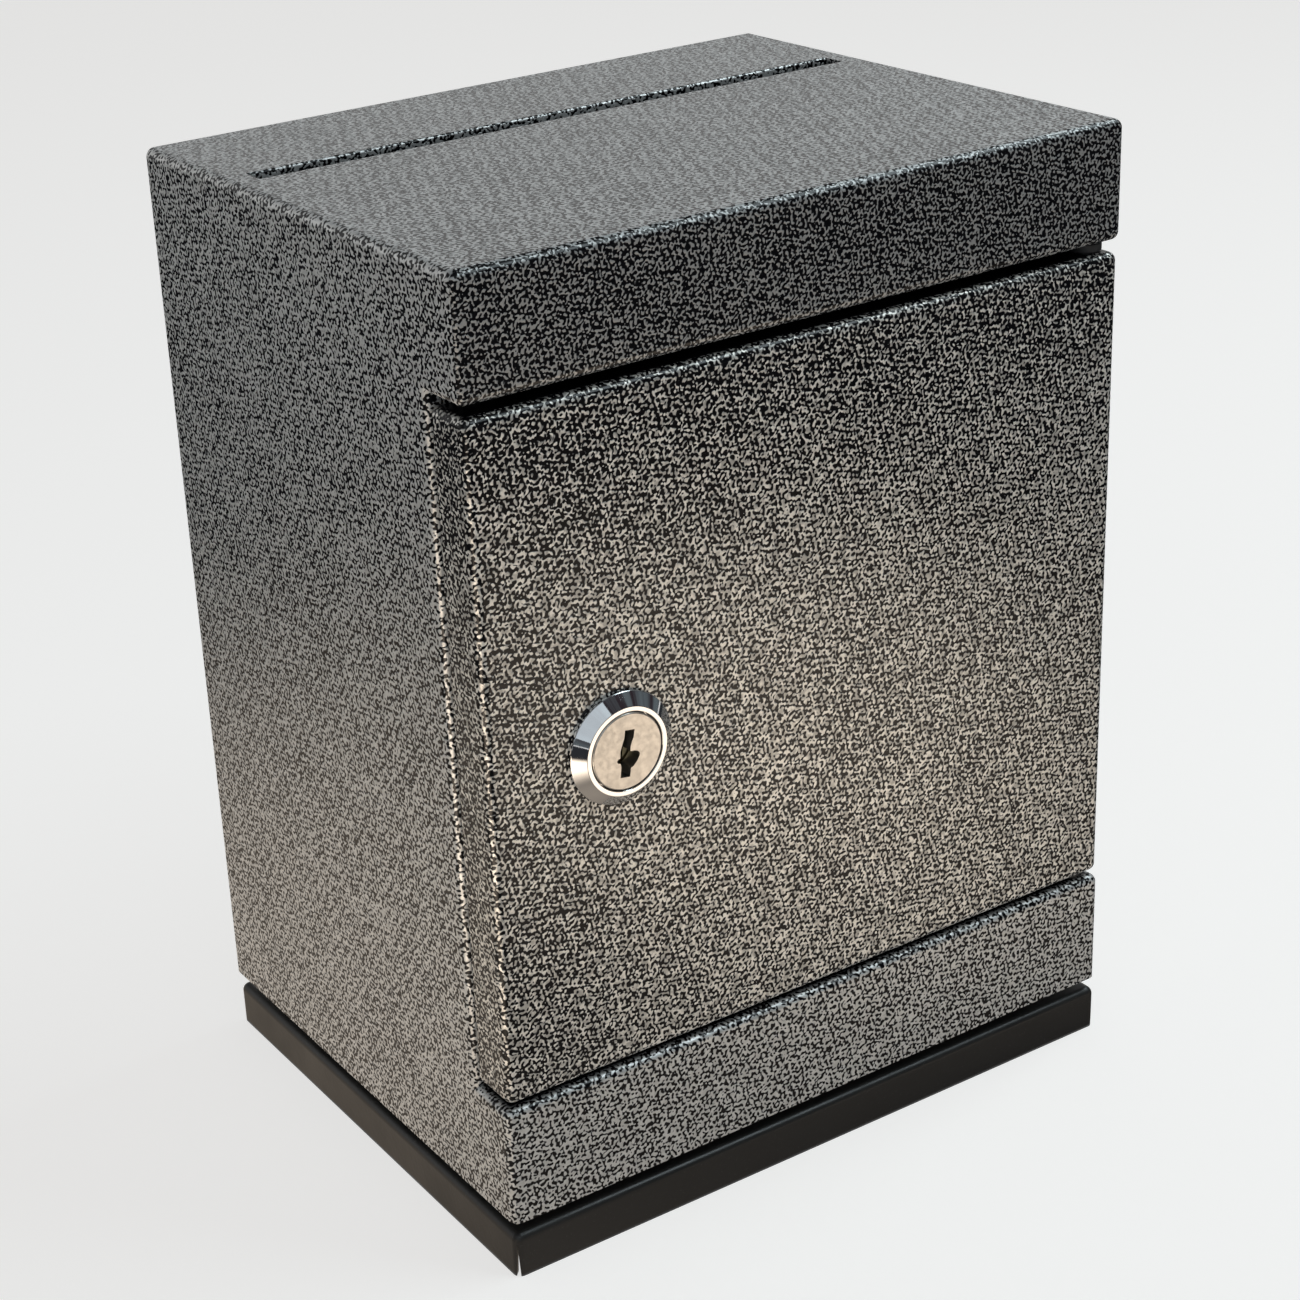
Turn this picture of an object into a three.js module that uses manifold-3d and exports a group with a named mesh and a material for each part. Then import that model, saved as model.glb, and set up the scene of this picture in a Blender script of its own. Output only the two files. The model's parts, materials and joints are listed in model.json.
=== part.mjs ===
// Small steel money safe: a folded sheet-steel cabinet on a black plinth, with a pin-hung door,
// a full-width slot in the top and a wafer cam lock in the door.
//
// Units are millimetres. +X points to the right of a person facing the door, +Y points to the back
// and +Z points up. Pieces are laid out from the cabinet's front left corner at floor level, and one
// outer group moves that corner so that the origin is the middle of the underside.

import * as THREE from 'three';
import { mergeVertices } from 'three/addons/utils/BufferGeometryUtils.js';
import Module from 'manifold-3d';

const wasm = await Module();
wasm.setup();

// ---------------------------------------------------------------- driving dimensions

const WIDTH = 134;
const DEPTH = 105;
const HEIGHT = 180;
const SHEET = 1.2;
const GAP = 0.3; // clearance left between pieces that touch on the real object
const PAST = 1; // how far a cutting solid runs past the face that it cuts

// Plinth: a shallow pan with its skirts folded down, and a shadow gap over it.
const PLINTH_HEIGHT = 8.5;
const CABINET_BOTTOM = 11;
const CORNER_SLIT_WIDTH = 0.9;
const CORNER_SLIT_HEIGHT = 6.4;
const FIXING_INSET = 14;

// Front: header strip, door and sill, measured upwards from the floor.
const HEADER_BOTTOM = 158.8;
const DOOR_TOP = 156.8;
const DOOR_BOTTOM = 34.8;
const SILL_TOP = 33.6;
const DOOR_SIDE_GAP = 0.5;
const DOOR_DEPTH = 9.2;
const NOTCH_DEPTH = 10.4;
const RETURN_DEPTH = 16;
const JAMB_WIDTH = 11.8;

// Slot in the top.
const SLOT_LENGTH = 124;
const SLOT_WIDTH = 4.6;
const SLOT_CENTRE_Y = 73.1;
const SLOT_LIP_DEPTH = 4; // how far down the slot's rear edge is turned, from the top's outer face

// Floor pan and back panel.
const PAN_LIP = 10;

// Hinge pins, on a vertical axis near the right front corner.
const PIVOT_X = 129.5;
const PIVOT_Y = 4.5;
const PIN_RADIUS = 1.5;
const PIN_HOLE_RADIUS = 1.8;
const PIN_HEAD_RADIUS = 2.6;
const PIN_HEAD_HEIGHT = 1.5;
const PIN_GROOVE_RADIUS = 0.9;
const PIN_TAIL = 1.2;
const CLIP_RADIUS = 2.4;
const CLIP_THICKNESS = 0.6;
const HINGE_WASHER_RADIUS = 3;

// Cam lock, on an axis that runs from front to back.
const LOCK_X = 25.8;
const LOCK_Z = 94.8;
const LOCK_TILT = 9; // degrees that the lock stands turned clockwise in the door
const BEZEL_RADIUS = 10;
const BEZEL_PROUD = 2.4;
const BEZEL_RIM = 0.4;
const FRONT_RING_RADIUS = 7.85;
const PLUG_HEAD_BORE = 7.1;
const PLUG_HEAD_RADIUS = 6.8;
const PLUG_HEAD_DEPTH = 1.5;
const BARREL_RADIUS = 8;
const BARREL_FLAT = 7;
const BARREL_END = 16;
const BORE_RADIUS = 5.9;
const PLUG_RADIUS = 5.6;
const GROOVE_HALF_WIDTH = 3;
const GROOVE_TOP = 6.7;
const KEYWAY_HEIGHT = 8.5;
const KEYWAY_WIDTH = 1.9;
const KEYWAY_END = 11.5;
const TAIL_HALF = 3;
const CAM_SCREW_RADIUS = 1.7;
const CAM_SCREW_END = 12.8;
const CAM_SCREW_HEAD_HEIGHT = 2;
const CAM_SCREW_HEAD_RADIUS = 3.9;
const SPRING_WASHER_THICKNESS = 0.8;
const SPRING_WASHER_SPLIT = 0.8;

const WAFER_COUNT = 5;
const WAFER_FIRST_Y = 1.2;
const WAFER_PITCH = 2;
const WAFER_THICKNESS = 0.7;
const WAFER_SLOT_WIDTH = 1.3;
const WAFER_HALF_WIDTH = 2.6;
const WAFER_RADIUS = 5.45;
const WAFER_WINDOW_HALF_WIDTH = 1.3;
const WAFER_WINDOW_HALF_HEIGHT = 4.1;
const WAFER_EAR_REACH = 4.4;
const WAFER_EAR_BOTTOM = -2.3;
const WAFER_EAR_TOP = -1.4;
const SPRING_POCKET_REACH = 4.8;
const SPRING_POCKET_HALF_HEIGHT = 2.6;
const SPRING_X = 3.85;
const SPRING_RADIUS = 0.35;
const SPRING_WIRE_RADIUS = 0.1;
const SPRING_END_GAP = 0.1;
const SPRING_TURNS = 4;
const SPRING_STEPS_PER_TURN = 8;

const NUT_THICKNESS = 3.6;
const NUT_ACROSS_FLATS = 19;
const TOOTH_WASHER_THICKNESS = 0.6;
const TOOTH_WASHER_RADIUS = 10.8;
const TOOTH_COUNT = 12;
const TOOTH_GAP = 1.6;
const TOOTH_ROOT_RADIUS = 9.2;

const STOP_WASHER_THICKNESS = 0.5;
const STOP_LUG_ANGLE = 30;
const STOP_LUG_SLACK = 3;
const STOP_LUG_INNER = 6.9;
const STOP_LUG_OUTER = 7.9;
const STOP_RECESS_RADIUS = 6.6;
const STOP_RECESS_DEPTH = 1.5;
const LOCK_TRAVEL = 180;

const CAM_THICKNESS = 1.6;
const CAM_REACH = 21;
const CAM_HALF_WIDTH = 6;
const CAM_HUB_RADIUS = 8;
const CAM_TIP_FRONT = NOTCH_DEPTH + SHEET + 0.6;
const CAM_BEND_START = 8.6;
const CAM_BEND_END = 13;

// Plinth fixings.
const M4_RADIUS = 1.9;
const M4_HOLE_RADIUS = 2.25;
const M4_HEAD_RADIUS = 3.8;
const M4_HEAD_HEIGHT = 2;
const M4_NUT_ACROSS_FLATS = 7;
const M4_NUT_THICKNESS = 2.2;
const M4_TAIL = 0.8;
const SPACER_RADIUS = 6;

// Sides of a round piece, by how plainly its roundness shows.
const FINE = 40;
const ROUND = 20;
const COARSE = 12;

// ---------------------------------------------------------------- materials

const finishes = {
  veinPaint: { color: 0x6b6864, roughness: 0.42, metalness: 0.35 },
  blackPaint: { color: 0x1b1b1b, roughness: 0.5, metalness: 0.1 },
  chrome: { color: 0xd8dadc, roughness: 0.08, metalness: 1 },
  nickel: { color: 0xb9b2a6, roughness: 0.35, metalness: 1 },
  zinc: { color: 0xa9abad, roughness: 0.4, metalness: 0.95 },
  brass: { color: 0xb08d4a, roughness: 0.35, metalness: 1 },
  springSteel: { color: 0x8b8d90, roughness: 0.3, metalness: 1 },
  blackNylon: { color: 0x202020, roughness: 0.6, metalness: 0 },
};

// ---------------------------------------------------------------- solids

// A closed three.js geometry as a solid that can be joined and cut.
function solid(geometry) {
  const bare = geometry.index ? geometry.toNonIndexed() : geometry.clone();
  bare.deleteAttribute('normal');
  bare.deleteAttribute('uv');
  const welded = mergeVertices(bare, 1e-4);
  return new wasm.Manifold(new wasm.Mesh({
    numProp: 3,
    vertProperties: new Float32Array(welded.attributes.position.array),
    triVerts: new Uint32Array(welded.index.array),
  }));
}

function geometryOf(body) {
  const mesh = body.getMesh();
  const geometry = new THREE.BufferGeometry();
  geometry.setAttribute('position', new THREE.BufferAttribute(new Float32Array(mesh.vertProperties), 3));
  geometry.setIndex(new THREE.BufferAttribute(new Uint32Array(mesh.triVerts), 1));
  geometry.computeVertexNormals();
  return geometry;
}

const joined = (first, ...others) => others.reduce((whole, body) => whole.add(body), first);
const cut = (first, ...others) => others.reduce((whole, body) => whole.subtract(body), first);

// A box between two limits on each axis.
function block([x0, x1], [y0, y1], [z0, z1]) {
  const box = new THREE.BoxGeometry(x1 - x0, y1 - y0, z1 - z0);
  box.translate((x0 + x1) / 2, (y0 + y1) / 2, (z0 + z1) / 2);
  return solid(box);
}

// A cylinder that runs from front to back, centred on the lock's axis.
function rodY(radius, y0, y1, sides = ROUND) {
  const rod = new THREE.CylinderGeometry(radius, radius, y1 - y0, sides);
  rod.translate(0, (y0 + y1) / 2, 0);
  return solid(rod);
}

// An upright cylinder at a place on the plan.
function rodZ(x, y, radius, z0, z1, sides = ROUND) {
  const rod = new THREE.CylinderGeometry(radius, radius, z1 - z0, sides);
  rod.rotateX(Math.PI / 2);
  rod.translate(x, y, (z0 + z1) / 2);
  return solid(rod);
}

// A solid of revolution about the front-to-back axis, from [radius, y] points round its section.
function turnedY(section, sides = ROUND) {
  const points = section.map(([radius, y]) => new THREE.Vector2(radius, y));
  return solid(new THREE.LatheGeometry([...points, points[0]], sides));
}

// An outline on the front view's x and z, extruded from y0 to y1.
function plateXZ(outline, y0, y1, [x, z] = [0, 0]) {
  const plate = new THREE.ExtrudeGeometry(outline, {
    depth: y1 - y0, bevelEnabled: false, curveSegments: COARSE,
  });
  plate.rotateX(Math.PI / 2);
  plate.translate(x, y1, z);
  return solid(plate);
}

// A sector of a ring about the front-to-back axis; angles run from +X towards +Z, in degrees.
function ringSectorY(inner, outer, startDegrees, endDegrees, y0, y1) {
  const start = THREE.MathUtils.degToRad(startDegrees);
  const end = THREE.MathUtils.degToRad(endDegrees);
  const outline = new THREE.Shape();
  outline.absarc(0, 0, outer, start, end, false);
  outline.absarc(0, 0, inner, end, start, true);
  return plateXZ(outline, y0, y1);
}

function hexagonOutline(acrossFlats) {
  const radius = acrossFlats / Math.sqrt(3);
  const corners = Array.from({ length: 6 }, (_, i) => {
    const angle = (i * Math.PI) / 3;
    return new THREE.Vector2(radius * Math.cos(angle), radius * Math.sin(angle));
  });
  return new THREE.Shape(corners);
}

// ---------------------------------------------------------------- scene graph

const safe = new THREE.Group();
safe.position.set(-WIDTH / 2, -(DEPTH - BEZEL_PROUD) / 2, 0);

const lock = new THREE.Group();
lock.position.set(LOCK_X, 0, LOCK_Z);
lock.rotation.y = THREE.MathUtils.degToRad(LOCK_TILT);
safe.add(lock);

function addPiece(group, name, body, finish, position = [0, 0, 0]) {
  const mesh = new THREE.Mesh(geometryOf(body), new THREE.MeshStandardMaterial(finish));
  mesh.name = name;
  mesh.position.set(...position);
  group.add(mesh);
}

// ---------------------------------------------------------------- cabinet

// Sides, top with its slot, header, sill and left jamb, folded from sheet, open at back and bottom.
function bodyShell() {
  const hood = cut(
    block([0, WIDTH], [0, DEPTH], [CABINET_BOTTOM, HEIGHT]),
    block([SHEET, WIDTH - SHEET], [SHEET, DEPTH + PAST], [CABINET_BOTTOM - PAST, HEIGHT - SHEET]),
    block([-PAST, WIDTH + PAST], [-PAST, NOTCH_DEPTH], [SILL_TOP, HEADER_BOTTOM]),
  );
  const weld = SHEET / 2; // how far a fold reaches into the sheet that it joins
  const across = [weld, WIDTH - weld];
  const slotEnds = [(WIDTH - SLOT_LENGTH) / 2, (WIDTH + SLOT_LENGTH) / 2];
  const slotSides = [SLOT_CENTRE_Y - SLOT_WIDTH / 2, SLOT_CENTRE_Y + SLOT_WIDTH / 2];
  const folds = joined(
    hood,
    block(across, [weld, RETURN_DEPTH], [HEADER_BOTTOM, HEADER_BOTTOM + SHEET]),
    block(across, [weld, RETURN_DEPTH], [SILL_TOP - SHEET, SILL_TOP]),
    block(
      [weld, SHEET + JAMB_WIDTH],
      [NOTCH_DEPTH, NOTCH_DEPTH + SHEET],
      [SILL_TOP - weld, HEADER_BOTTOM + weld],
    ),
    block(slotEnds, [slotSides[1], slotSides[1] + SHEET], [HEIGHT - SLOT_LIP_DEPTH, HEIGHT - weld]),
  );
  return cut(
    folds,
    block(slotEnds, slotSides, [HEIGHT - SHEET - PAST, HEIGHT + PAST]),
    rodZ(PIVOT_X, PIVOT_Y, PIN_HOLE_RADIUS, HEADER_BOTTOM - PAST, HEADER_BOTTOM + SHEET + PAST),
    rodZ(PIVOT_X, PIVOT_Y, PIN_HOLE_RADIUS, SILL_TOP - SHEET - PAST, SILL_TOP + PAST),
  );
}

// The four places where the plinth is screwed to the floor pan.
const fixings = [FIXING_INSET, WIDTH - FIXING_INSET].flatMap(
  (x) => [FIXING_INSET, DEPTH - FIXING_INSET].map((y) => [x, y]),
);
const fixingHoles = (z0, z1) => fixings.map(([x, y]) => rodZ(x, y, M4_HOLE_RADIUS, z0, z1, COARSE));

// A tray that closes the bottom, with its lips turned up inside the walls.
function floorPan() {
  const left = SHEET + GAP;
  const right = WIDTH - left;
  const back = DEPTH - SHEET - GAP;
  return cut(
    block([left, right], [left, back], [CABINET_BOTTOM, CABINET_BOTTOM + PAN_LIP]),
    block(
      [left + SHEET, right - SHEET],
      [left + SHEET, back - SHEET],
      [CABINET_BOTTOM + SHEET, CABINET_BOTTOM + PAN_LIP + PAST],
    ),
    ...fixingHoles(CABINET_BOTTOM - PAST, CABINET_BOTTOM + SHEET + PAST),
  );
}

// The back, flush with the rear edges of the shell, with lips turned forward at the sides and top.
function backPanel() {
  const left = SHEET + GAP;
  const right = WIDTH - left;
  const top = HEIGHT - SHEET - GAP;
  const lipBottom = CABINET_BOTTOM + PAN_LIP + GAP;
  return joined(
    block([left, right], [DEPTH - SHEET, DEPTH], [CABINET_BOTTOM, top]),
    cut(
      block([left, right], [DEPTH - PAN_LIP, DEPTH], [lipBottom, top]),
      block(
        [left + SHEET, right - SHEET],
        [DEPTH - PAN_LIP - PAST, DEPTH - SHEET],
        [lipBottom - PAST, top - SHEET],
      ),
    ),
  );
}

addPiece(safe, 'body_shell', bodyShell(), finishes.veinPaint);
addPiece(safe, 'floor_pan', floorPan(), finishes.veinPaint);
addPiece(safe, 'back_panel', backPanel(), finishes.veinPaint);

// ---------------------------------------------------------------- plinth

// A wedge that opens one corner between two skirts, widest at the floor.
function cornerSlit(sideX, sideY) {
  const half = CORNER_SLIT_WIDTH / 2;
  const outline = new THREE.Shape([
    new THREE.Vector2(-half, -PAST),
    new THREE.Vector2(half, -PAST),
    new THREE.Vector2(0, CORNER_SLIT_HEIGHT),
  ]);
  const depth = 3 * SHEET;
  const wedge = new THREE.ExtrudeGeometry(outline, { depth, bevelEnabled: false });
  wedge.translate(0, 0, -depth / 2);
  wedge.rotateX(Math.PI / 2);
  wedge.rotateZ((-sideX * sideY * Math.PI) / 4);
  wedge.translate(sideX > 0 ? WIDTH : 0, sideY > 0 ? DEPTH : 0, 0);
  return solid(wedge);
}

function plinth() {
  const slits = [-1, 1].flatMap((sideX) => [-1, 1].map((sideY) => cornerSlit(sideX, sideY)));
  return cut(
    block([0, WIDTH], [0, DEPTH], [0, PLINTH_HEIGHT]),
    block([SHEET, WIDTH - SHEET], [SHEET, DEPTH - SHEET], [-PAST, PLINTH_HEIGHT - SHEET]),
    ...fixingHoles(PLINTH_HEIGHT - SHEET - PAST, PLINTH_HEIGHT + PAST),
    ...slits,
  );
}

// A domed screw with its head inside the cabinet and its tail under the plinth.
function plinthScrew() {
  const headBottom = CABINET_BOTTOM + SHEET + GAP;
  const tail = PLINTH_HEIGHT - SHEET - GAP - M4_NUT_THICKNESS - M4_TAIL;
  return joined(
    rodZ(0, 0, M4_HEAD_RADIUS, headBottom, headBottom + M4_HEAD_HEIGHT, ROUND),
    rodZ(0, 0, M4_RADIUS, tail, headBottom + PAST, COARSE),
  );
}

function plinthNut() {
  const top = PLINTH_HEIGHT - SHEET - GAP;
  const hexagon = new THREE.CylinderGeometry(
    M4_NUT_ACROSS_FLATS / Math.sqrt(3), M4_NUT_ACROSS_FLATS / Math.sqrt(3), M4_NUT_THICKNESS, 6,
  );
  hexagon.rotateX(Math.PI / 2);
  hexagon.translate(0, 0, top - M4_NUT_THICKNESS / 2);
  return cut(
    solid(hexagon),
    rodZ(0, 0, M4_HOLE_RADIUS, top - M4_NUT_THICKNESS - PAST, top + PAST, COARSE),
  );
}

function plinthSpacer() {
  const bottom = PLINTH_HEIGHT + GAP;
  const top = CABINET_BOTTOM - GAP;
  return cut(
    rodZ(0, 0, SPACER_RADIUS, bottom, top, ROUND),
    rodZ(0, 0, M4_HOLE_RADIUS, bottom - PAST, top + PAST, COARSE),
  );
}

addPiece(safe, 'plinth', plinth(), finishes.blackPaint);
fixings.forEach(([x, y], i) => {
  addPiece(safe, `plinth_spacer_${i + 1}`, plinthSpacer(), finishes.blackNylon, [x, y, 0]);
  addPiece(safe, `plinth_screw_${i + 1}`, plinthScrew(), finishes.zinc, [x, y, 0]);
  addPiece(safe, `plinth_nut_${i + 1}`, plinthNut(), finishes.zinc, [x, y, 0]);
});

// ---------------------------------------------------------------- door and its hinge

// The double-D hole that keeps the lock's barrel from turning.
function lockHole() {
  const radius = BARREL_RADIUS + GAP;
  const flatAngle = Math.acos((BARREL_FLAT + GAP) / radius);
  const tilt = THREE.MathUtils.degToRad(LOCK_TILT);
  const outline = new THREE.Shape();
  outline.absarc(0, 0, radius, flatAngle - tilt, Math.PI - flatAngle - tilt, false);
  outline.absarc(0, 0, radius, Math.PI + flatAngle - tilt, 2 * Math.PI - flatAngle - tilt, false);
  return plateXZ(outline, -PAST, SHEET + PAST, [LOCK_X, LOCK_Z]);
}

function doorPan() {
  const left = DOOR_SIDE_GAP;
  const right = WIDTH - DOOR_SIDE_GAP;
  return cut(
    block([left, right], [0, DOOR_DEPTH], [DOOR_BOTTOM, DOOR_TOP]),
    block(
      [left + SHEET, right - SHEET],
      [SHEET, DOOR_DEPTH + PAST],
      [DOOR_BOTTOM + SHEET, DOOR_TOP - SHEET],
    ),
    lockHole(),
    rodZ(PIVOT_X, PIVOT_Y, PIN_HOLE_RADIUS, DOOR_BOTTOM - PAST, DOOR_BOTTOM + SHEET + PAST),
    rodZ(PIVOT_X, PIVOT_Y, PIN_HOLE_RADIUS, DOOR_TOP - SHEET - PAST, DOOR_TOP + PAST),
  );
}

// One hinge set, described from the cabinet's flange towards the door. Heights are along "out",
// which is -1 for the upper set and +1 for the lower one.
function addHingeSet(name, flangeFar, flangeNear, doorNear, doorFar, out) {
  const between = (radius, a, b) => rodZ(0, 0, radius, Math.min(a, b), Math.max(a, b), ROUND);
  const headNear = flangeFar - out * GAP;
  const clipNear = doorFar + out * GAP;
  const clipFar = clipNear + out * CLIP_THICKNESS;
  const pin = cut(
    joined(
      between(PIN_HEAD_RADIUS, headNear, headNear - out * PIN_HEAD_HEIGHT),
      between(PIN_RADIUS, headNear - out * PIN_HEAD_HEIGHT / 2, clipFar + out * PIN_TAIL),
    ),
    cut(
      between(PIN_RADIUS + PAST, clipNear - out * GAP / 2, clipFar + out * GAP / 2),
      between(PIN_GROOVE_RADIUS, clipNear - out * PAST, clipFar + out * PAST),
    ),
  );
  const washer = cut(
    between(HINGE_WASHER_RADIUS, flangeNear + out * GAP, doorNear - out * GAP),
    between(PIN_HOLE_RADIUS, flangeNear - out * PAST, doorNear + out * PAST),
  );
  const clipOpening = block(
    [-PIN_GROOVE_RADIUS, PIN_GROOVE_RADIUS],
    [0, CLIP_RADIUS + PAST],
    [Math.min(clipNear, clipFar) - PAST, Math.max(clipNear, clipFar) + PAST],
  );
  const clip = cut(
    between(CLIP_RADIUS, clipNear, clipFar),
    between(PIN_GROOVE_RADIUS + GAP, clipNear - out * PAST, clipFar + out * PAST),
    clipOpening,
  );
  const place = [PIVOT_X, PIVOT_Y, 0];
  addPiece(safe, `${name}_hinge_pin`, pin, finishes.zinc, place);
  addPiece(safe, `${name}_hinge_washer`, washer, finishes.blackNylon, place);
  addPiece(safe, `${name}_pin_clip`, clip, finishes.springSteel, place);
}

addPiece(safe, 'door_pan', doorPan(), finishes.veinPaint);
addHingeSet('upper', HEADER_BOTTOM + SHEET, HEADER_BOTTOM, DOOR_TOP, DOOR_TOP - SHEET, -1);
addHingeSet('lower', SILL_TOP - SHEET, SILL_TOP, DOOR_BOTTOM, DOOR_BOTTOM + SHEET, 1);

// ---------------------------------------------------------------- lock, on its own axis

const plugShoulder = BARREL_END + GAP;
const stopWasherFront = plugShoulder + GAP;
const camFront = stopWasherFront + STOP_WASHER_THICKNESS + GAP;
const tailEnd = camFront + CAM_THICKNESS;
const springWasherFront = tailEnd + GAP;
const camScrewHeadFront = springWasherFront + SPRING_WASHER_THICKNESS + GAP;

const waferPlaces = Array.from({ length: WAFER_COUNT }, (_, i) => WAFER_FIRST_Y + i * WAFER_PITCH);

// Bezel and barrel in one casting, with side flats, locking grooves and a recess for the stop lug.
function lockHousing() {
  const section = [
    [BORE_RADIUS, -BEZEL_PROUD + PLUG_HEAD_DEPTH + GAP],
    [PLUG_HEAD_BORE, -BEZEL_PROUD + PLUG_HEAD_DEPTH + GAP],
    [PLUG_HEAD_BORE, -BEZEL_PROUD],
    [FRONT_RING_RADIUS, -BEZEL_PROUD],
    [BEZEL_RADIUS, -GAP - BEZEL_RIM],
    [BEZEL_RADIUS, -GAP],
    [BARREL_RADIUS, -GAP],
    [BARREL_RADIUS, BARREL_END],
    [BORE_RADIUS, BARREL_END],
  ];
  const beyond = 2 * BARREL_RADIUS;
  const sides = [[-beyond, -BARREL_FLAT], [BARREL_FLAT, beyond]].map(
    (across) => block(across, [-GAP, BARREL_END + PAST], [-beyond, beyond]),
  );
  const groove = block(
    [-GROOVE_HALF_WIDTH, GROOVE_HALF_WIDTH],
    [WAFER_FIRST_Y - WAFER_PITCH / 2, waferPlaces.at(-1) + WAFER_PITCH / 2],
    [-GROOVE_TOP, GROOVE_TOP],
  );
  const slack = STOP_LUG_ANGLE / 2 + STOP_LUG_SLACK;
  const recess = ringSectorY(
    STOP_RECESS_RADIUS, BARREL_RADIUS + PAST,
    90 - LOCK_TRAVEL - slack, 90 + slack,
    BARREL_END - STOP_RECESS_DEPTH, BARREL_END + PAST,
  );
  return cut(turnedY(section, FINE), ...sides, groove, recess);
}

// Turning plug with its keyway, wafer slots, spring pockets, square tail and screw hole.
function lockPlug() {
  const body = turnedY([
    [0, -BEZEL_PROUD],
    [PLUG_HEAD_RADIUS, -BEZEL_PROUD],
    [PLUG_HEAD_RADIUS, -BEZEL_PROUD + PLUG_HEAD_DEPTH],
    [PLUG_RADIUS, -BEZEL_PROUD + PLUG_HEAD_DEPTH],
    [PLUG_RADIUS, plugShoulder],
    [0, plugShoulder],
  ], FINE);
  const tail = block([-TAIL_HALF, TAIL_HALF], [plugShoulder - PAST, tailEnd], [-TAIL_HALF, TAIL_HALF]);
  const keyway = block(
    [-KEYWAY_WIDTH / 2, KEYWAY_WIDTH / 2],
    [-BEZEL_PROUD - PAST, KEYWAY_END],
    [-KEYWAY_HEIGHT / 2, KEYWAY_HEIGHT / 2],
  );
  const slotHalfWidth = WAFER_HALF_WIDTH + GAP;
  const slotReach = PLUG_RADIUS + PAST;
  const slots = waferPlaces.flatMap((y) => {
    const width = [y - WAFER_SLOT_WIDTH / 2, y + WAFER_SLOT_WIDTH / 2];
    return [
      block([-slotHalfWidth, slotHalfWidth], width, [-slotReach, slotReach]),
      block([0, SPRING_POCKET_REACH], width, [-SPRING_POCKET_HALF_HEIGHT, SPRING_POCKET_HALF_HEIGHT]),
    ];
  });
  const screwHole = rodY(CAM_SCREW_RADIUS + GAP, CAM_SCREW_END - GAP, tailEnd + PAST);
  return cut(joined(body, tail), keyway, ...slots, screwHole);
}

// A flat wafer with round ends, a window for the key and an ear for its spring.
function wafer(y) {
  const span = [y - WAFER_THICKNESS / 2, y + WAFER_THICKNESS / 2];
  const reach = [-2 * PLUG_RADIUS, 2 * PLUG_RADIUS];
  const plate = rodY(WAFER_RADIUS, ...span).intersect(
    block([-WAFER_HALF_WIDTH, WAFER_HALF_WIDTH], [span[0] - PAST, span[1] + PAST], reach),
  );
  const ear = block([0, WAFER_EAR_REACH], span, [WAFER_EAR_BOTTOM, WAFER_EAR_TOP]);
  const window = block(
    [-WAFER_WINDOW_HALF_WIDTH, WAFER_WINDOW_HALF_WIDTH],
    [span[0] - PAST, span[1] + PAST],
    [-WAFER_WINDOW_HALF_HEIGHT, WAFER_WINDOW_HALF_HEIGHT],
  );
  return cut(joined(plate, ear), window);
}

// The coil that stands on a wafer's ear and pushes against the top of its pocket.
function waferSpring(y) {
  const bottom = WAFER_EAR_TOP + SPRING_END_GAP + SPRING_WIRE_RADIUS;
  const top = SPRING_POCKET_HALF_HEIGHT - SPRING_END_GAP - SPRING_WIRE_RADIUS;
  const steps = SPRING_TURNS * SPRING_STEPS_PER_TURN;
  const path = Array.from({ length: steps + 1 }, (_, i) => {
    const angle = (i / SPRING_STEPS_PER_TURN) * 2 * Math.PI;
    return new THREE.Vector3(
      SPRING_X + SPRING_RADIUS * Math.cos(angle),
      y + SPRING_RADIUS * Math.sin(angle),
      bottom + ((top - bottom) * i) / steps,
    );
  });
  const section = new THREE.Shape([0, 1, 2, 3].map((i) => new THREE.Vector2(
    SPRING_WIRE_RADIUS * Math.cos((i * Math.PI) / 2),
    SPRING_WIRE_RADIUS * Math.sin((i * Math.PI) / 2),
  )));
  return solid(new THREE.ExtrudeGeometry(section, {
    steps, bevelEnabled: false, extrudePath: new THREE.CatmullRomCurve3(path),
  }));
}

// A washer with its rim notched into teeth.
function toothWasher() {
  const front = SHEET + GAP;
  const back = front + TOOTH_WASHER_THICKNESS;
  const notches = Array.from({ length: TOOTH_COUNT }, (_, i) => {
    const length = TOOTH_WASHER_RADIUS;
    const notch = new THREE.BoxGeometry(length, TOOTH_WASHER_THICKNESS + 2 * PAST, TOOTH_GAP);
    notch.translate(TOOTH_ROOT_RADIUS + length / 2, (front + back) / 2, 0);
    notch.rotateY((i * 2 * Math.PI) / TOOTH_COUNT);
    return solid(notch);
  });
  return cut(
    rodY(TOOTH_WASHER_RADIUS, front, back),
    rodY(BARREL_RADIUS + GAP, front - PAST, back + PAST),
    ...notches,
  );
}

function lockNut() {
  const front = SHEET + GAP + TOOTH_WASHER_THICKNESS + GAP;
  return cut(
    plateXZ(hexagonOutline(NUT_ACROSS_FLATS), front, front + NUT_THICKNESS),
    rodY(BARREL_RADIUS + GAP, front - PAST, front + NUT_THICKNESS + PAST, FINE),
  );
}

const squareHole = (y0, y1) => block(
  [-TAIL_HALF - GAP, TAIL_HALF + GAP], [y0 - PAST, y1 + PAST], [-TAIL_HALF - GAP, TAIL_HALF + GAP],
);

// A washer on the square tail, with a lug that runs in the barrel's recess and ends the turn.
function stopWasher() {
  const back = stopWasherFront + STOP_WASHER_THICKNESS;
  const half = STOP_LUG_ANGLE / 2;
  return cut(
    joined(
      rodY(STOP_LUG_OUTER, stopWasherFront, back),
      ringSectorY(
        STOP_LUG_INNER, STOP_LUG_OUTER, 90 - half, 90 + half,
        BARREL_END - STOP_RECESS_DEPTH + GAP, back,
      ),
    ),
    squareHole(stopWasherFront, back),
  );
}

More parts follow.
